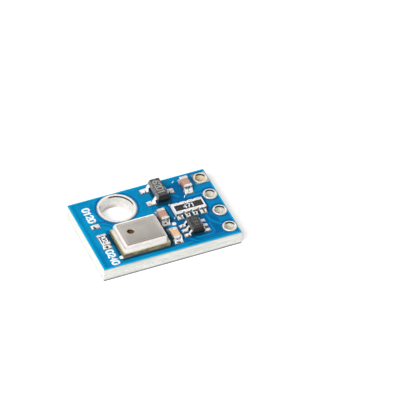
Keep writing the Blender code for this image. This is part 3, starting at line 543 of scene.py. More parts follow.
# The array's tin, whose sides carry a near-black painted shade
ARRAY_TIN = tin_finish("array_tin", TIN, (0.28, 0.03))
CLEAN_TIN = tin_finish("clean_tin", TIN, (0.8, 0.1), 0.5)
RING_TIN = ring_finish("ring_tin", BARREL_TIN, 0.97, 0.95)
CREAM_TIN = ring_finish("cream_tin", CREAM)
GOLDEN_TIN = ring_finish("golden_tin", GOLD_TIN)
DARK_MOULDING = moulding_finish("dark_moulding", shade(MOULDING, 0.62))
WHITE_INK = film_finish(
    "white_ink", INK, INK_THIN, (9, 4, 0.45, 0.75), (0.45, 0.7), (16, 2, 3, 0.7)
)
PALE_MARK = mark_finish("pale_mark", MARK)
FAINT_MARK = mark_finish("faint_mark", shade(MARK, 0.5))


def dress_nodes():
    """Gives every solid of the frame the finish of its slot."""
    for part in frame["record"]["subparts"]:
        finish = FINISHES[part["material_slot"]]
        if part["node"] == "dual_transistor_body":
            finish = DARK_MOULDING
        obj = bpy.data.objects[part["node"]]
        if not obj.material_slots:
            obj.data.materials.append(finish)
        for material_slot in obj.material_slots:
            material_slot.material = finish


def add_object(name, data):
    made = bpy.data.objects.new(name, data)
    bpy.context.scene.collection.objects.link(made)
    return made


def add_mesh(name, bm):
    """An object from the bmesh, which is used up."""
    mesh = bpy.data.meshes.new(name)
    bm.to_mesh(mesh)
    bm.free()
    return add_object(name, mesh)


def add_piece(name, bm, finish, slot, *replaced):
    """An object from the bmesh that rides on the board and may stand for solids of the frame."""
    bmesh.ops.recalc_face_normals(bm, faces=bm.faces)
    piece = add_mesh(name, bm)
    piece.data.shade_smooth()
    piece.data.materials.append(finish)
    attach(piece, "root")
    if replaced:
        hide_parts(*replaced)
    return piece


def towards_camera():
    azimuth, elevation = math.radians(AZIMUTH), math.radians(ELEVATION)
    return Vector((
        math.sin(azimuth) * math.cos(elevation),
        -math.cos(azimuth) * math.cos(elevation),
        math.sin(elevation),
    ))


def add_camera():
    data = bpy.data.cameras.new("camera")
    data.lens = LENS
    data.sensor_width = SENSOR_WIDTH
    data.clip_start = 0.01
    data.clip_end = 20
    camera = add_object("camera", data)
    back = towards_camera()
    look = back.to_track_quat("Z", "Y").to_matrix() @ Matrix.Rotation(math.radians(ROLL), 3, "Z")
    camera.matrix_world = Matrix.Translation(TARGET + back * DISTANCE) @ look.to_4x4()
    bpy.context.scene.camera = camera


def add_lamp():
    """One large soft lamp at the front left."""
    data = bpy.data.lights.new("key", "AREA")
    data.shape = "RECTANGLE"
    data.size, data.size_y = LAMP_SIZE
    data.energy = LAMP_WATTS
    lamp = add_object("key", data)
    lamp.location = LAMP_PLACE
    lamp.rotation_euler = (-LAMP_PLACE).to_track_quat("-Z", "Y").to_euler()


def add_room():
    """A white room, dimmer high up and on the side of the camera."""
    world = bpy.data.worlds.new("studio")
    bpy.context.scene.world = world
    world.use_nodes = True
    room = Nodes(world.node_tree)
    direction = room.add("ShaderNodeTexCoord").outputs["Generated"]
    towards = room.add("ShaderNodeVectorMath", operation="DOT_PRODUCT")
    room.feed(towards.inputs[0], direction)
    room.feed(towards.inputs[1], towards_camera())
    up = room.add("ShaderNodeSeparateXYZ", {"Vector": direction}).outputs["Z"]
    smooth = {"interpolation_type": "SMOOTHSTEP"}
    glow = room.ramp(towards.outputs["Value"], 0.75, 0.97, 1.0, 0.25, **smooth)
    sky = room.ramp(up, 0.12, 0.62, 1.1, 0.34, **smooth)
    background = room.tree.nodes["Background"]
    room.feed(background.inputs["Strength"], room.times(glow, sky))
    room.feed(background.inputs["Color"], (*WHITE, 1.0))


def add_floor():
    """A pale floor that looks white itself and keeps the board's shadow."""
    floor = Finish("sweep", FLOOR_GREY, 0.9)
    rays = floor.add("ShaderNodeLightPath").outputs
    seen = floor.math("MAXIMUM", rays["Is Camera Ray"], rays["Is Glossy Ray"])
    seen = floor.math("MAXIMUM", seen, rays["Is Transmission Ray"])
    floor.set("Emission Color", (*WHITE, 1.0))
    floor.set("Emission Strength", floor.times(seen, FLOOR_GLOW))
    floor.set("Specular IOR Level", 0.0)
    bm = bmesh.new()
    bmesh.ops.create_grid(bm, x_segments=1, y_segments=1, size=FLOOR_SIZE)
    sweep = add_mesh("floor", bm)
    sweep.data.materials.append(floor.material)


def join_rings(bm, rings, closed=False):
    """Faces from ring to ring: closed round to the first ring, or else with a cap at each end."""
    for first, second in zip(rings, rings[1:] + (rings[:1] if closed else [])):
        for i, vert in enumerate(first):
            j = (i + 1) % len(first)
            bm.faces.new((vert, first[j], second[j], second[i]))
    if not closed:
        bm.faces.new(rings[0][::-1])
        bm.faces.new(rings[-1])


def fill_grid(bm, grid, floor):
    """Faces between the rows of verts, walls from their rim down to the floor, and a base."""
    for row, following in zip(grid, grid[1:]):
        for j in range(len(row) - 1):
            bm.faces.new((row[j], row[j + 1], following[j + 1], following[j]))
    rim = grid[0] + [row[-1] for row in grid[1:]]
    rim += grid[-1][-2::-1] + [row[0] for row in grid[-2:0:-1]]
    feet = [bm.verts.new((vert.co.x, vert.co.y, floor), vert) for vert in rim]
    for i, vert in enumerate(rim):
        j = (i + 1) % len(rim)
        bm.faces.new((rim[j], vert, feet[i], feet[j]))
    bm.faces.new(feet)


def ring_outline(half_x, half_y, radius, steps):
    """Points of a rectangle with round corners, the same number whatever its size."""
    points = []
    for u, v, start in ((1, 1, 0), (-1, 1, 90), (-1, -1, 180), (1, -1, 270)):
        for step in range(steps + 1):
            angle = math.radians(start + 90 * step / steps)
            points.append((
                u * (half_x - radius) + radius * math.cos(angle),
                v * (half_y - radius) + radius * math.sin(angle),
            ))
    return points


def cut_with(piece, cutter, operation, sharp_angle):
    """Applies a Boolean with the bmesh, which is used up, and leaves a plain mesh."""
    other = add_mesh("cutter", cutter)
    modifier = piece.modifiers.new("cut", "BOOLEAN")
    modifier.operation = operation
    modifier.solver = "MANIFOLD"
    modifier.object = other
    bpy.context.view_layer.update()
    shaped = bpy.data.meshes.new_from_object(
        piece.evaluated_get(bpy.context.evaluated_depsgraph_get())
    )
    piece.modifiers.clear()
    piece.data = shaped
    bpy.data.objects.remove(other)
    shaped.set_sharp_from_angle(angle=math.radians(sharp_angle))


# Under the mask the copper is one wide area, left out in these zones; corners in mm
BARE_ZONES = [
    [(1.5, -4.35), (1.5, 1.0), (0.6, 1.6), (0.6, 2.1), (2.6, 2.1), (2.6, 3.8), (4.35, 4.3),
     (4.35, 2.2), (5.8, 2.1), (5.95, 1.2), (5.95, -0.7), (5.6, -1.4), (6.2, -2.2), (6.1, -4.3)],
    [(-5.7, 1.75), (-4.9, 1.45), (-4.3, 0.9), (-4.6, 0.5), (-5.3, 1.0), (-5.7, 1.1)],
    [(-5.35, 0.15), (-4.9, 0.15), (-4.9, -2.3), (-5.45, -2.0), (-5.45, -0.3)],
]
# Tracks in the bare zones: width in mm, then the points in mm
TRACKS = [
    (0.26, [(5.2, -0.9), (5.2, -1.6), (5.28, -2.2), (5.6, -2.65), (6.1, -3.1), (6.78, -3.76)]),
    (0.2, [(5.05, -2.6), (5.07, -3.85), (4.85, -4.1), (3.2, -4.1), (2.95, -3.85)]),
    (0.22, [(2.2, -3.5), (2.35, -4.0), (2.75, -4.45), (3.15, -4.66), (7.2, -4.72)]),
    (0.24, [(2.5, -0.85), (1.9, -0.6), (1.78, -0.1), (1.78, 1.1), (1.3, 1.5), (0.6, 1.5)]),
    (0.24, [(2.85, 2.75), (3.25, 2.4), (3.6, 2.1)]),
    (0.3, [(4.5, 1.78), (5.9, 1.76), (6.7, 1.4)]),
    (0.2, [(4.0, -0.85), (4.0, -1.3)]),
    (0.24, [(-6.0, 1.1), (-5.5, 1.28), (-5.0, 1.12), (-4.5, 0.6), (-3.8, -0.4)]),
]
# Gaps that part the copper elsewhere: width in mm, depth as a share, then the points in mm
GAPS = [
    (0.26, 0.5, [(-7.15, -4.9), (-7.15, 4.9)]),
    (0.14, 0.6, [(-7.1, 4.72), (-3.9, 4.78)]),
    (0.14, 0.8, [(-5.1, -4.82), (7.4, -4.88)]),
    (0.16, 0.9, [(-5.2, -4.42), (0.4, -4.42), (1.0, -4.3)]),
    (0.12, 0.9, [(1.5, -4.9), (2.4, -4.62), (3.0, -4.9)]),
    (0.14, 0.8, [(4.7, 4.75), (7.4, 4.75)]),
    (0.14, 0.6, [(-5.3, 4.3), (-5.45, 3.2), (-5.1, 1.9)]),
]
TRACK_GAP = 0.14  # bare laminate beside a track, in mm
RING_GAP = 0.27  # bare laminate round the land of a hole, in mm
COPPER_STEP = 0.02 * MM
GRID_STEP = 0.055 * MM
EDGE_ROUNDING = 0.02 * MM

# Painted shadow on the mask beside each part: reach to the left, right, front and back in mm
SHADOWS = [
    ("sensor_substrate", 0.45, 1.3, 0.3, 0.15),
    ("regulator_body", 0.3, 0.5, 0.6, 0.15),
    ("dual_transistor_body", 0.95, 0.6, 0.35, 0.12),
    ("resistor_array_body", 0.15, 0.3, 0.85, 0.2),
    ("back_capacitor_body", 0.2, 0.35, 0.2, 0.1),
    ("middle_capacitor_body", 0.25, 0.75, 0.4, 0.1),
    ("front_capacitor_body", 0.9, 0.35, 0.2, 0.1),
    ("address_resistor_body", 0.08, 0.16, 0.1, 0.1),
]
SHADOWS += [(f"regulator_lead_{number}", 0.08, 0.1, 0.13, 0.05) for number in (1, 2, 3)]


def inside_polygon(x, y, polygon):
    """Whether each grid point lies in the polygon."""
    inside = np.zeros(x.shape, bool)
    for (ax, ay), (bx, by) in zip(polygon, polygon[1:] + polygon[:1]):
        crossing = (ay > y) != (by > y)
        slope = (bx - ax) / (by - ay) if by != ay else 0.0
        inside ^= crossing & (x < ax + (y - ay) * slope)
    return inside


def distance_to_path(x, y, points):
    """Distance in mm from each grid point to the nearest stretch of the path."""
    nearest = np.full(x.shape, np.inf)
    for (ax, ay), (bx, by) in zip(points, points[1:]):
        dx, dy = bx - ax, by - ay
        share = np.clip(((x - ax) * dx + (y - ay) * dy) / (dx * dx + dy * dy), 0, 1)
        nearest = np.minimum(nearest, np.hypot(x - ax - share * dx, y - ay - share * dy))
    return nearest


def smooth_step(value, low, high):
    share = np.clip((value - low) / (high - low), 0, 1)
    return share * share * (3 - 2 * share)


def copper_map(x, y):
    """1 where copper lies under the mask and 0 where the laminate is bare; x and y in mm."""
    copper = np.ones(x.shape)
    for zone in BARE_ZONES:
        away = distance_to_path(x, y, zone + zone[:1])
        away[inside_polygon(x, y, zone)] *= -1
        copper = np.minimum(copper, smooth_step(away, -0.05, 0.05))
    for width, depth, points in GAPS:
        away = distance_to_path(x, y, points) - width / 2
        copper = np.minimum(copper, 1 - depth * (1 - smooth_step(away, -0.06, 0.06)))
    for node, *_ in PLATINGS:
        low, high = corners(node)
        middle, radius = (low + high) / 2 / MM, (high.x - low.x) / 2 / MM
        away = np.hypot(x - middle.x, y - middle.y) - radius
        copper = np.minimum(copper, smooth_step(away, RING_GAP - 0.06, RING_GAP + 0.04))
    for width, points in TRACKS:
        away = distance_to_path(x, y, points) - width / 2
        copper = copper * smooth_step(away, TRACK_GAP - 0.05, TRACK_GAP + 0.05)
        copper = np.maximum(copper, 1 - smooth_step(away, -0.05, 0.05))
    return copper


def contact_shadow(x, y):
    """1 where painted shadow darkens the mask close by the parts, down to 0 away from them."""
    shadow = np.zeros(x.shape)
    for node, left, right, front, back in SHADOWS:
        low, high = corners(node)
        aside = np.maximum(np.maximum((low.x - x) / left, (x - high.x) / right), 0) / MM
        along = np.maximum(np.maximum((low.y - y) / front, (y - high.y) / back), 0) / MM
        shadow = np.maximum(shadow, 1 - smooth_step(np.hypot(aside, along), 0.25, 1.0))
    return shadow


def build_mask():
    """The blue mask of the top as one relief over the copper, open where the lands are."""
    low, high = corners("solder_mask_top")
    across = int(round((high.x - low.x) / GRID_STEP))
    along = int(round((high.y - low.y) / GRID_STEP))
    x, y = np.meshgrid(
        np.linspace(low.x, high.x, across + 1), np.linspace(low.y, high.y, along + 1)
    )
    copper = copper_map(x / MM, y / MM)
    from_edge = np.minimum(high.x - np.abs(x), high.y - np.abs(y)) / MM
    z = high.z + COPPER_STEP * copper - EDGE_ROUNDING * (1 - smooth_step(from_edge, 0.0, 0.12))
    # Share of the painted highlight along the cut edge
    rim = 1 - smooth_step(from_edge, 0.1, 0.22)

    bm = bmesh.new()
    layers = [
        (bm.verts.layers.float.new(name), values)
        for name, values in (("copper", copper), ("rim", rim), ("shadow", contact_shadow(x, y)))
    ]
    grid = []
    for i in range(along + 1):
        row = []
        for j in range(across + 1):
            vert = bm.verts.new((x[i, j], y[i, j], z[i, j]))
            for layer, values in layers:
                vert[layer] = values[i, j]
            row.append(vert)
        grid.append(row)
    fill_grid(bm, grid, low.z)
    relief = add_piece("mask_relief", bm, MASK, "blue_mask", "solder_mask_top")

    # The solid itself, drawn out upwards and downwards, leaves its openings in the relief
    openings = bmesh.new()
    openings.from_mesh(bpy.data.objects["solder_mask_top"].data)
    bmesh.ops.remove_doubles(openings, verts=openings.verts, dist=WELD)
    for vert in openings.verts:
        vert.co.z += MM if vert.co.z > (low.z + high.z) / 2 else -MM
    cut_with(relief, openings, "INTERSECT", 60)


# Section of a bead: across and up, as shares of its half width and its height
BEAD_SECTION = [(-1.0, 0.0), (-0.8, 0.75), (-0.35, 1.0), (0.35, 1.0), (0.8, 0.75), (1.0, 0.0)]
BEAD_TIP_STEPS = 3


def bead(bm, points, width, height, z):
    """A low rounded stroke along the points, with half-round ends."""
    path = [Vector((*point, 0)) for point in points]
    start, end = (path[1] - path[0]).normalized(), (path[-1] - path[-2]).normalized()
    radius = width / 2
    angles = [math.pi / 2 * i / (BEAD_TIP_STEPS + 0.5) for i in range(1, BEAD_TIP_STEPS + 1)]
    stations = [(path[0] - start * radius * math.sin(a), start, math.cos(a)) for a in angles[::-1]]
    for i, point in enumerate(path):
        before = path[max(i - 1, 0)]
        after = path[min(i + 1, len(path) - 1)]
        stations.append((point, (after - before).normalized(), 1.0))
    stations += [(path[-1] + end * radius * math.sin(a), end, math.cos(a)) for a in angles]
    rings = []
    for centre, direction, share in stations:
        side = Vector((-direction.y, direction.x, 0))
        rings.append([
            bm.verts.new(centre + side * (u * radius * share) + Vector((0, 0, z + v * height)))
            for u, v in BEAD_SECTION
        ])
    join_rings(bm, rings)


def oval(width, height, steps=6):
    """An upright oval as a closed run of points, from its lower left."""
    points = []
    radius = width / 2
    for centre_y, first in ((height - radius, 0), (radius, 180)):
        for i in range(steps + 1):
            angle = math.radians(first + 180 * i / steps)
            points.append((radius + radius * math.cos(angle), centre_y + radius * math.sin(angle)))
    points.append(points[0])
    return points


# Strokes of the plain digits that are used, in a box of this width and 1 high
DIGIT_WIDTH = 0.6
DIGIT_STROKES = {
    "0": [oval(DIGIT_WIDTH, 1.0)],
    "1": [[(0.1, 0.8), (0.32, 1.0), (0.32, 0.0)]],
    "2": [[(0.02, 0.8), (0.12, 0.95), (0.3, 1.0), (0.5, 0.94), (0.58, 0.76), (0.5, 0.55),
           (0.0, 0.0), (0.6, 0.0)]],
    "4": [[(0.45, 0.0), (0.45, 1.0), (0.0, 0.32), (0.6, 0.32)]],
    "6": [[(0.5, 0.98), (0.2, 0.86), (0.03, 0.5), (0.02, 0.24), (0.14, 0.04), (0.34, 0.0),
           (0.54, 0.1), (0.6, 0.3), (0.5, 0.5), (0.3, 0.57), (0.06, 0.44)]],
    "7": [[(0.0, 1.0), (0.6, 1.0), (0.2, 0.0)]],
    "8": [[(0.3, 0.54), (0.08, 0.66), (0.06, 0.86), (0.3, 1.0), (0.54, 0.86), (0.52, 0.66),
           (0.3, 0.54), (0.04, 0.4), (0.0, 0.18), (0.3, 0.0), (0.6, 0.18), (0.56, 0.4),
           (0.3, 0.54)]],
}


def lettering(bm, text, corner, right, up, size, pitch, stroke, height, z):
    """Beads that spell the digits, from the corner along right, with their tops along up."""
    right, up = Vector(right), Vector(up)
    for i, digit in enumerate(text):
        for strokes in DIGIT_STROKES[digit]:
            points = [corner + right * (i * pitch + u * size) + up * v * size for u, v in strokes]
            bead(bm, points, stroke, height, z)


# White legends: text and where it starts along Y, in mm
LEGENDS = [("0120", 3.86), ("0240", -2.58)]
LEGEND_FOOT = -6.45  # along X, in mm
INK_THICKNESS = 0.016 * MM
INK_SINK = 0.004 * MM
MARK_SINK = 0.001 * MM
# Dots: place and radius in mm
DOTS = [(1.6, -1.41, 0.25), (-5.25, -3.95, 0.26)]
# Flecks of ink: both ends and width in mm
FLECKS = [
    ((3.76, 4.21), (3.96, 4.36), 0.09),
    ((4.12, 1.78), (4.26, 2.02), 0.08),
    ((2.15, 1.25), (2.26, 1.38), 0.08),
    ((1.94, -0.72), (2.05, -0.58), 0.08),
]


def build_legends():
    """White ink on the board: two plain numbers beside the select pads, dots and flecks."""
    top = corners("solder_mask_top")[1].z + COPPER_STEP - INK_SINK
    bm = bmesh.new()
    for text, start in LEGENDS:
        lettering(
            bm, text, Vector((LEGEND_FOOT, start)) * MM, (0, -1), (1, 0), 0.7 * MM, 0.55 * MM,
            0.23 * MM, INK_THICKNESS, top,
        )
    for x, y, radius in DOTS:
        place = Matrix.Translation((x * MM, y * MM, top + INK_THICKNESS / 2))
        bmesh.ops.create_cone(bm, cap_ends=True, segments=24, radius1=radius * MM,
                              radius2=radius * 0.8 * MM, depth=INK_THICKNESS, matrix=place)
    for start, end, width in FLECKS:
        bead(bm, [Vector(start) * MM, Vector(end) * MM], width * MM, INK_THICKNESS, top)
    add_piece("board_legends", bm, WHITE_INK, "blue_mask")


# Plain numbers on the parts: name, solid, text, finish, slot, reading and upward directions, then
# height, pitch, stroke and thickness in mm
PART_MARKS = [
    ("array_number", "resistor_array_coating", "471", WHITE_INK, "resistor_coating",
     (1, 0), (0, 1), 0.5, 0.42, 0.12, 0.008),
    ("address_number", "address_resistor_coating", "102", WHITE_INK, "resistor_coating",
     (0, -1), (1, 0), 0.48, 0.29, 0.12, 0.008),
    ("regulator_number", "regulator_body", "6201", PALE_MARK, "black_moulding",
     (0, -1), (1, 0), 0.7, 0.5, 0.14, 0.004),
    ("transistor_number", "dual_transistor_body", "184", FAINT_MARK, "black_moulding",
     (0, -1), (1, 0), 0.5, 0.42, 0.05, 0.004),
]


def build_part_marks():
    """A plain number in the middle of the top of each marked part."""
    for name, node, text, finish, slot, right, up, *sizes in PART_MARKS:
        size, pitch, stroke, thick = (value * MM for value in sizes)
        low, high = corners(node)
        length = (len(text) - 1) * pitch + DIGIT_WIDTH * size
        corner = ((low + high) / 2).to_2d() - Vector(right) * length / 2 - Vector(up) * size / 2
        bm = bmesh.new()
        lettering(bm, text, corner, right, up, size, pitch, stroke, thick, high.z - MARK_SINK)
        add_piece(name, bm, finish, slot)


# Solder
SOLDER_ROWS = 24
SOLDER_COLUMNS = 18
SOLDER_ROLL = 0.06 * MM  # width of the rounded edge
CORNER_PULL = 0.12
CHIP_FILM = 0.05 * MM  # least height of the solder above the seat, here and below
LEAD_FILM = 0.045 * MM
PAD_FILM = 0.02 * MM
PAD_MOUND = 0.13 * MM
RIPPLE_SIZE = 0.16 * MM
RIPPLE_DEPTH = 0.012 * MM

# Dark spots on the lands, partly flux and partly painted shade: place and radius in mm
FLUX_AND_SHADE_SPOTS = [
    (-6.32, 0.95, 0.14), (-6.22, 0.82, 0.13), (-6.12, -2.18, 0.17), (-6.38, -1.9, 0.1),
    (-5.72, -2.05, 0.12), (0.92, -4.12, 0.15), (1.1, -4.14, 0.13), (2.31, -3.6, 0.12),
    (5.16, -0.78, 0.1), (5.18, -0.95, 0.12), (2.55, -0.75, 0.1), (2.6, -0.95, 0.1),
    (3.45, -0.8, 0.12), (4.24, -0.82, 0.12), (0.62, 3.82, 0.09), (0.38, 3.78, 0.08),
    (0.75, -1.2, 0.12), (1.02, -1.1, 0.1), (2.9, 2.86, 0.12), (4.86, 2.3, 0.08),
]


class Land:
    """A land in its own directions: outwards from the part that it carries, and across."""

    def __init__(self, low, high, outward):
        self.outward = Vector((*outward, 0))
        self.across = Vector((-outward[1], outward[0], 0))
        half = (high - low) / 2
        self.reach = abs(half.dot(self.outward))
        self.half_width = abs(half.dot(self.across))
        self.middle = Vector(((low.x + high.x) / 2, (low.y + high.y) / 2, 0))

    def at(self, out, across, z):
        return self.middle + self.outward * out + self.across * across + Vector((0, 0, z))


def ripple(spot, size, depth):
    """A smooth uneven offset that depends only on the place."""
    return noise.noise(spot / size) * depth


def flux_and_shade_at(spot):
    """1 in the middle of a dark spot, partly flux and partly painted shade, and 0 away from all of
    them.
    """
    share = 0.0
    for x, y, radius in FLUX_AND_SHADE_SPOTS:
        away = math.hypot(spot.x / MM - x, spot.y / MM - y) / radius
        share = max(share, 1 - smooth_step(away, 0.45, 1.0))
    return share


def add_solder(bm, land, height_at):
    """Solder over a whole land: a relief with rounded corners that rolls down at its edges."""
    flux_and_shade_layer = bm.verts.layers.float.new("flux_and_shade_share")
    grid = []
    for i in range(SOLDER_ROWS + 1):
        row = []
        for j in range(SOLDER_COLUMNS + 1):
            s = math.sin((2 * i / SOLDER_ROWS - 1) * math.pi / 2)
            t = math.sin((2 * j / SOLDER_COLUMNS - 1) * math.pi / 2)
            out = s * math.sqrt(1 - CORNER_PULL * t * t) * land.reach
            across = t * math.sqrt(1 - CORNER_PULL * s * s) * land.half_width
            edge = min((1 - abs(s)) * land.reach, (1 - abs(t)) * land.half_width)
            roll = 1 - min(edge / SOLDER_ROLL, 1)
            top = height_at(out, across)
            top += ripple(land.at(out, across, 0), RIPPLE_SIZE, RIPPLE_DEPTH)
            top = LAND_FOOT + (top - LAND_FOOT) * math.sqrt(max(1 - roll * roll, 0))
            vert = bm.verts.new(land.at(out, across, max(top, LAND_FOOT)))
            # Share of a dark spot: partly flux and partly painted shade
            vert[flux_and_shade_layer] = flux_and_shade_at(vert.co)
            row.append(vert)
        grid.append(row)
    fill_grid(bm, grid, LAMINATE_TOP)


# Chip ends: node and outward direction, then in mm how far the solder climbs, the width of the
# plated band, its inset from the land's sides and the reach of the land before it
CHIP_ENDS = []
for side_name, side_y in (("front", -1), ("back", 1)):
    for chip_name, *chip_sizes in (
        ("back_capacitor", 0.52, 0.33, 0.03, 0.4),
        ("middle_capacitor", 0.52, 0.33, 0.03, 0.4),
        ("front_capacitor", 0.34, 0.33, 0.03, 0.4),
        ("address_resistor", 0.26, 0.285, 0.065, 0.365),
    ):
        CHIP_ENDS.append((f"{chip_name}_terminal_{side_name}", (0, side_y), *chip_sizes))
for number in range(1, 9):
    side_y = -1 if number < 5 else 1
    CHIP_ENDS.append((f"resistor_array_terminal_{number}", (0, side_y), 0.2, 0.3, 0.01, 0.41))
END_ROUNDING = 0.055 * MM
END_RIPPLE_SIZE = 0.2 * MM
FILLET_REACH = 0.13 * MM


def rounded_box(low, high):
    """A bmesh of a box with round edges and a slightly uneven skin, as dipped metal has."""
    bm = bmesh.new()
    bmesh.ops.create_cube(bm, size=1)
    bmesh.ops.scale(bm, vec=high - low, verts=bm.verts)
    bmesh.ops.translate(bm, vec=(low + high) / 2, verts=bm.verts)
    bmesh.ops.subdivide_edges(bm, edges=bm.edges[:], cuts=3, use_grid_fill=True)
    sharp = [e for e in bm.edges if e.calc_face_angle(0) > 1]
    bmesh.ops.bevel(bm, geom=sharp, offset=END_ROUNDING, segments=4, profile=0.5,
                    affect="EDGES", clamp_overlap=True)
    bm.normal_update()
    for vert in bm.verts:
        vert.co += vert.normal * ripple(vert.co, END_RIPPLE_SIZE, RIPPLE_DEPTH)
    return bm


def build_chip_ends():
    """The plated ends of the chip parts, each with the solder that climbs it from its land."""
    for node, outward, *sizes in CHIP_ENDS:
        climb, band, inset, reach = (size * MM for size in sizes)
        low, high = corners(node)
        land = Land(low, high, outward)
        face = land.reach - reach
        half = land.half_width - inset

        def height_at(out, across):
            gap = max(out - face, 0.0)
            flare = 0.55 + 0.45 * min(abs(across) / half, 1.0) ** 3
            return SEAT + CHIP_FILM + climb * flare * math.exp(-gap / FILLET_REACH)

        ends = [land.at(face - band, -half, SEAT), land.at(face, half, high.z)]
        box_low = Vector([min(a, b) for a, b in zip(*ends)])
        box_high = Vector([max(a, b) for a, b in zip(*ends)])
        bm = rounded_box(box_low, box_high)
        add_solder(bm, land, height_at)
        finish = FINISHES["tin"]
        if node.startswith("resistor_array"):
            finish = ARRAY_TIN
        if node.startswith("address_resistor"):
            finish = CLEAN_TIN
        add_piece(f"{node}_soldered", bm, finish, "tin", node)


# Leads: node, outward direction, then in mm the root's height, the middle and the half width of the
# body, the toe's distance from that middle, foot, width, thickness and length of the land
LEADS = [
    (f"regulator_lead_{number}", (side, 0), 2.22, 1.8, 0.66, 1.28, 0.27, 0.42, 0.13, 0.95)
    for number, side in ((1, -1), (2, -1), (3, 1))
]
LEADS += [
    (f"dual_transistor_lead_{number}", (-1 if number < 4 else 1, 0), 2.13, 3.35, 0.65, 1.15,
     0.2, 0.24, 0.11, 0.66)
    for number in range(1, 7)
]
LEAD_ROOT = 0.13 * MM  # how far a lead reaches into its body
LEAD_BEND = 0.09 * MM
LEAD_BEND_STEPS = 7
HEEL_CLIMB = 0.2 * MM
HEEL_FILLET = 0.075 * MM


def bent_path(points):
    """The path's points with each inner corner turned into an arc."""
    path = [Vector(points[0])]
    for before, corner, after in zip(points, points[1:], points[2:]):
        inwards = (before - corner).normalized()
        outwards = (after - corner).normalized()
        half = inwards.angle(outwards) / 2
        reach = LEAD_BEND / math.tan(half)
        centre = corner + (inwards + outwards).normalized() * LEAD_BEND / math.sin(half)
        first = (corner + inwards * reach - centre).normalized()
        last = (corner + outwards * reach - centre).normalized()
        for i in range(LEAD_BEND_STEPS + 1):
            turned = first.slerp(last, i / LEAD_BEND_STEPS).normalized()
            path.append(centre + turned * LEAD_BEND)
    path.append(Vector(points[-1]))
    return path


def add_strip(bm, path, across, width, thickness):
    """A stamped strip along the path, its long edges rounded."""
    section = ring_outline(width / 2, thickness / 2, thickness * 0.3, 3)
    rings = []
    for i, point in enumerate(path):
        along = (path[min(i + 1, len(path) - 1)] - path[max(i - 1, 0)]).normalized()
        up = across.cross(along)
        rings.append([bm.verts.new(point + across * u + up * v) for u, v in section])
    join_rings(bm, rings)


def build_leads():
    """Gull-wing leads of both moulded packages, with solder up their feet and heels."""
    for node, outward, *sizes in LEADS:
        root, body_x, face, toe, foot, width, thick, length = (size * MM for size in sizes)
        low, high = corners(node)
        out = Vector((*outward, 0))
        far = low.x if out.x < 0 else high.x
        near = far - out.x * length
        land = Land(
            Vector((min(far, near), low.y, 0)), Vector((max(far, near), high.y, 0)), outward
        )
        sole = SEAT + thick / 2
        heel = toe - foot
        shoulder = face + (heel - face) * 0.15
        start = Vector((body_x, land.middle.y, 0))
        points = [
            start + out * along + Vector((0, 0, z)) for along, z in
            ((face - LEAD_ROOT, root), (shoulder, root), (heel, sole), (toe, sole))
        ]
        bm = bmesh.new()
        add_strip(bm, bent_path(points), land.across, width, thick)
        from_body = (land.middle.x - start.x) * out.x
        steep = (root - sole) / (heel - shoulder)

        def height_at(along, across):
            place = from_body + along
            beside = max(abs(across) - width / 2, 0.0)
            before = max(heel - place, 0.0)
            after = max(place - toe, 0.0)
            foot_top = thick + min(before * steep, HEEL_CLIMB) * 0.85
            gap = math.hypot(beside, after)
            return SEAT + LEAD_FILM + foot_top * 0.9 * math.exp(-gap / HEEL_FILLET)

        add_solder(bm, land, height_at)
        add_piece(f"{node}_soldered", bm, FINISHES["tin"], "tin", node)


def build_select_pad():
    """The bare pad with its low mound of solder."""
    low, high = corners("bare_select_pad")
    land = Land(low, high, (0, 1))

    def height_at(out, across):
        u, v = out / land.reach, across / land.half_width
        return SEAT + PAD_FILM + PAD_MOUND * (1 - u * u) * (1 - 0.6 * v * v)

    bm = bmesh.new()
    add_solder(bm, land, height_at)
    add_piece("select_pad_solder", bm, FINISHES["tin"], "tin", "bare_select_pad")


# Profile of the lid in mm: inset and height above its foot, then inset and drop below its top
LID_FOOT = [(0.0, 0.0), (0.0, 0.05), (0.02, 0.09)]
LID_SHOULDER = [
    (0.02, 0.50), (0.045, 0.47), (0.05, 0.44), (0.035, 0.41), (0.035, 0.33), (0.06, 0.27),
    (0.20, 0.07), (0.245, 0.02), (0.27, 0.0), (0.285, 0.004), (0.31, 0.05), (0.34, 0.05),
    (0.38, 0.006), (0.42, 0.0), (0.50, 0.0), (0.54, 0.035), (0.58, 0.04), (0.64, 0.012),
    (0.70, 0.008),
]
# The hollow in the same way: its inset at the open foot, then inset and drop below the lid's top
LID_WALL = 0.11
LID_HOLLOW = [(0.13, 0.42), (0.34, 0.16), (0.70, 0.16)]
LID_CORNER = 0.42 * MM
LID_INNER_CORNER = 0.06 * MM
LID_LEAN_FULL = 0.3 * MM  # inset at which the front shoulder leans in full
VENT_RADIUS = 0.4 * MM
VENT_DEPTH = 0.8 * MM


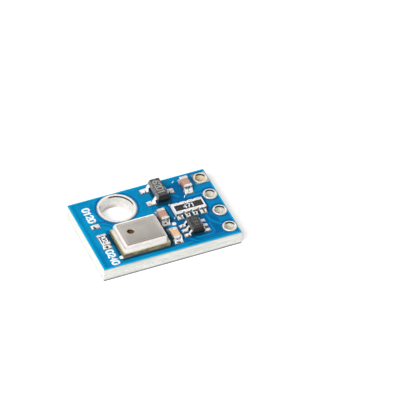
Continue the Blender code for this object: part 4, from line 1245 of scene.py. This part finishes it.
def build_lid():
    """The drawn lid: a flared foot, a creased wall, a bevelled shoulder and two grooves on top."""
    low, high = corners("sensor_lid")
    centre = (low + high) / 2
    half_x, half_y = (high.x - low.x) / 2, (high.y - low.y) / 2
    profile = [(inset * MM, high.z - drop * MM) for inset, drop in LID_SHOULDER[::-1]]
    profile += [(inset * MM, low.z + rise * MM) for inset, rise in LID_FOOT[::-1]]
    profile.append((LID_WALL * MM, low.z))
    profile += [(inset * MM, high.z - drop * MM) for inset, drop in LID_HOLLOW]
    bm = bmesh.new()
    rings = []
    for inset, z in profile:
        radius = max(LID_CORNER - inset, LID_INNER_CORNER)
        lean = LID_LEAN * min(inset / LID_LEAN_FULL, 1.0)
        outline = ring_outline(half_x - inset, half_y - inset + lean / 2, radius, 6)
        middle = centre.y - lean / 2
        rings.append([bm.verts.new((centre.x + x, middle + y, z)) for x, y in outline])
    join_rings(bm, rings)
    lid = add_piece("lid_shell", bm, FINISHES["lid_metal"], "lid_metal", "sensor_lid")

    die_low, die_high = corners("sensor_humidity_die")
    vent = (die_low + die_high) / 2
    drill = bmesh.new()
    bmesh.ops.create_cone(drill, cap_ends=True, segments=64, radius1=VENT_RADIUS,
                          radius2=VENT_RADIUS, depth=VENT_DEPTH,
                          matrix=Matrix.Translation((vent.x, vent.y, high.z)))
    cut_with(lid, drill, "DIFFERENCE", 50)


# Tops of the tinned lands: share of the way from edge to hole, height in mm, tarnish all round and
# painted shade of the lip within its arcs, 0 to 1
PIN_PROFILE = [
    (0.0, -0.015, 1, 0), (0.05, 0.0, 1, 0), (0.14, 0.004, 1, 0), (0.22, 0.006, 0, 0),
    (0.28, 0.024, 0, 0), (0.36, 0.034, 0, 0), (0.46, 0.038, 0, 0), (0.56, 0.034, 0, 0),
    (0.64, 0.024, 0, 0), (0.69, 0.008, 0, 1), (0.84, -0.006, 0, 1), (0.92, -0.02, 0, 1),
    (0.97, -0.04, 0, 1), (1.0, -0.08, 0, 1), (1.0, -0.16, 0, 1), (1.0, -0.2, 0, 0),
]
MOUNT_PROFILE = [
    (0.0, -0.015, 1, 0), (0.03, 0.0, 1, 0), (0.16, 0.004, 1, 0), (0.22, 0.010, 0, 0),
    (0.28, 0.028, 0, 0), (0.42, 0.036, 0, 0), (0.56, 0.030, 0, 0), (0.66, 0.008, 0, 0),
    (0.74, 0.0, 0, 0), (0.80, -0.004, 0, 0), (0.84, -0.01, 0, 1), (1.0, -0.05, 0, 1),
    (1.0, -0.16, 0, 1), (1.0, -0.19, 0, 0),
]
# Arcs of painted shade on a hole's lip, in degrees: middle from +X, then half spans of full and
# fading shade
PIN_ARCS = [(67, 41, 75)]
MOUNT_ARCS = [(48, 42, 60), (156, 5, 12)]

# Plated holes: node, diameter of the hole in mm, segments, profile, dark arcs, finish
PLATINGS = [
    (f"pin_hole_plating_{number}", 1.1, 64, PIN_PROFILE, PIN_ARCS, finish)
    for number, finish in ((1, GOLDEN_TIN), (2, CREAM_TIN), (3, CREAM_TIN), (4, CREAM_TIN))
]
PLATINGS.append(("mounting_hole_plating", 3.5, 128, MOUNT_PROFILE, MOUNT_ARCS, RING_TIN))
SQUARE_LAND = "pin_hole_plating_1"
SQUARE_SLOPE = 0.03 * MM  # width of the slope round the square land, and how far it falls
SQUARE_FALL = 0.015 * MM
RIM_GAP = 0.01 * MM  # from the sides of the square land to its round rim
PLATING_WALL = 0.04 * MM  # how far the barrel's outside lies from the hole
LOWER_LAND = 0.05 * MM  # thickness of the land on the underside


def land_profile(inner, outer, top, shape):
    """Radius, height, tarnish and painted shade of the lip along the top of a land, from its edge
    to the hole.
    """
    return [(outer + (inner - outer) * share, top + height * MM, tarnish, lip_shade)
            for share, height, tarnish, lip_shade in shape]


def arc_share(angle, arcs):
    """1 within the arcs of painted shade on a lip, falling to 0 beside them; the angle in radians.
    """
    share = 0.0
    for middle, full, fade in arcs:
        away = abs((math.degrees(angle) - middle + 180) % 360 - 180)
        share = max(share, 1 - smooth_step(away, full, fade))
    return share


def square_edge_darkness(angle):
    """How dark the square land's edge is, deepest on its left."""
    return 0.7 + 1.2 * max(math.cos(angle - math.radians(165)), 0) ** 2


def build_plating():
    """The plated holes: raised rims of tin round a smooth barrel, and a square land on pin 1."""
    for node, hole, segments, shape, arcs, finish in PLATINGS:
        low, high = corners(node)
        centre = (low + high) / 2
        inner, outer = hole / 2 * MM, (high.x - low.x) / 2
        barrel = inner + PLATING_WALL
        profile = [(barrel, LAMINATE_TOP, 0, 0), (outer, LAMINATE_TOP, 0, 0)]
        rim = outer
        square_rings = []
        darkened_rings = []
        if node == SQUARE_LAND:
            rim = outer - RIM_GAP
            profile += [(outer, high.z - SQUARE_FALL, 1, 0), (outer - SQUARE_SLOPE, high.z, 0, 0)]
            square_rings = range(1, 4)
            darkened_rings = range(6)
        profile += land_profile(inner, rim, high.z, shape)
        profile += [(radius, low.z + high.z - z, 0, 0) for radius, z, _, _ in
                    land_profile(inner, outer, high.z, shape)[::-1] if z <= high.z]
        profile += [(outer, low.z + LOWER_LAND, 0, 0), (barrel, low.z + LOWER_LAND, 0, 0)]
        bm = bmesh.new()
        edge_layer = bm.verts.layers.float.new("edge")
        lip_shade_layer = bm.verts.layers.float.new("lip_shade")
        rings = []
        for index, (radius, z, tarnish, lip_shade) in enumerate(profile):
            ring = []
            for i in range(segments):
                angle = 2 * math.pi * (i + 0.5) / segments
                x, y = math.cos(angle), math.sin(angle)
                reach = radius / max(abs(x), abs(y)) if index in square_rings else radius
                vert = bm.verts.new((centre.x + reach * x, centre.y + reach * y, z))
                vert[edge_layer] = square_edge_darkness(angle) if index in darkened_rings else tarnish
                vert[lip_shade_layer] = lip_shade * arc_share(angle, arcs)
                ring.append(vert)
            rings.append(ring)
        join_rings(bm, rings, closed=True)
        piece = add_piece(f"{node}_tinned", bm, finish, "tin", node)
        piece.data.set_sharp_from_angle(angle=math.radians(50))


dress_nodes()
build_mask()
build_legends()
build_part_marks()
build_chip_ends()
build_leads()
build_select_pad()
build_lid()
build_plating()
add_camera()
add_room()
add_floor()
add_lamp()

bpy.context.scene.view_settings.view_transform = "Standard"
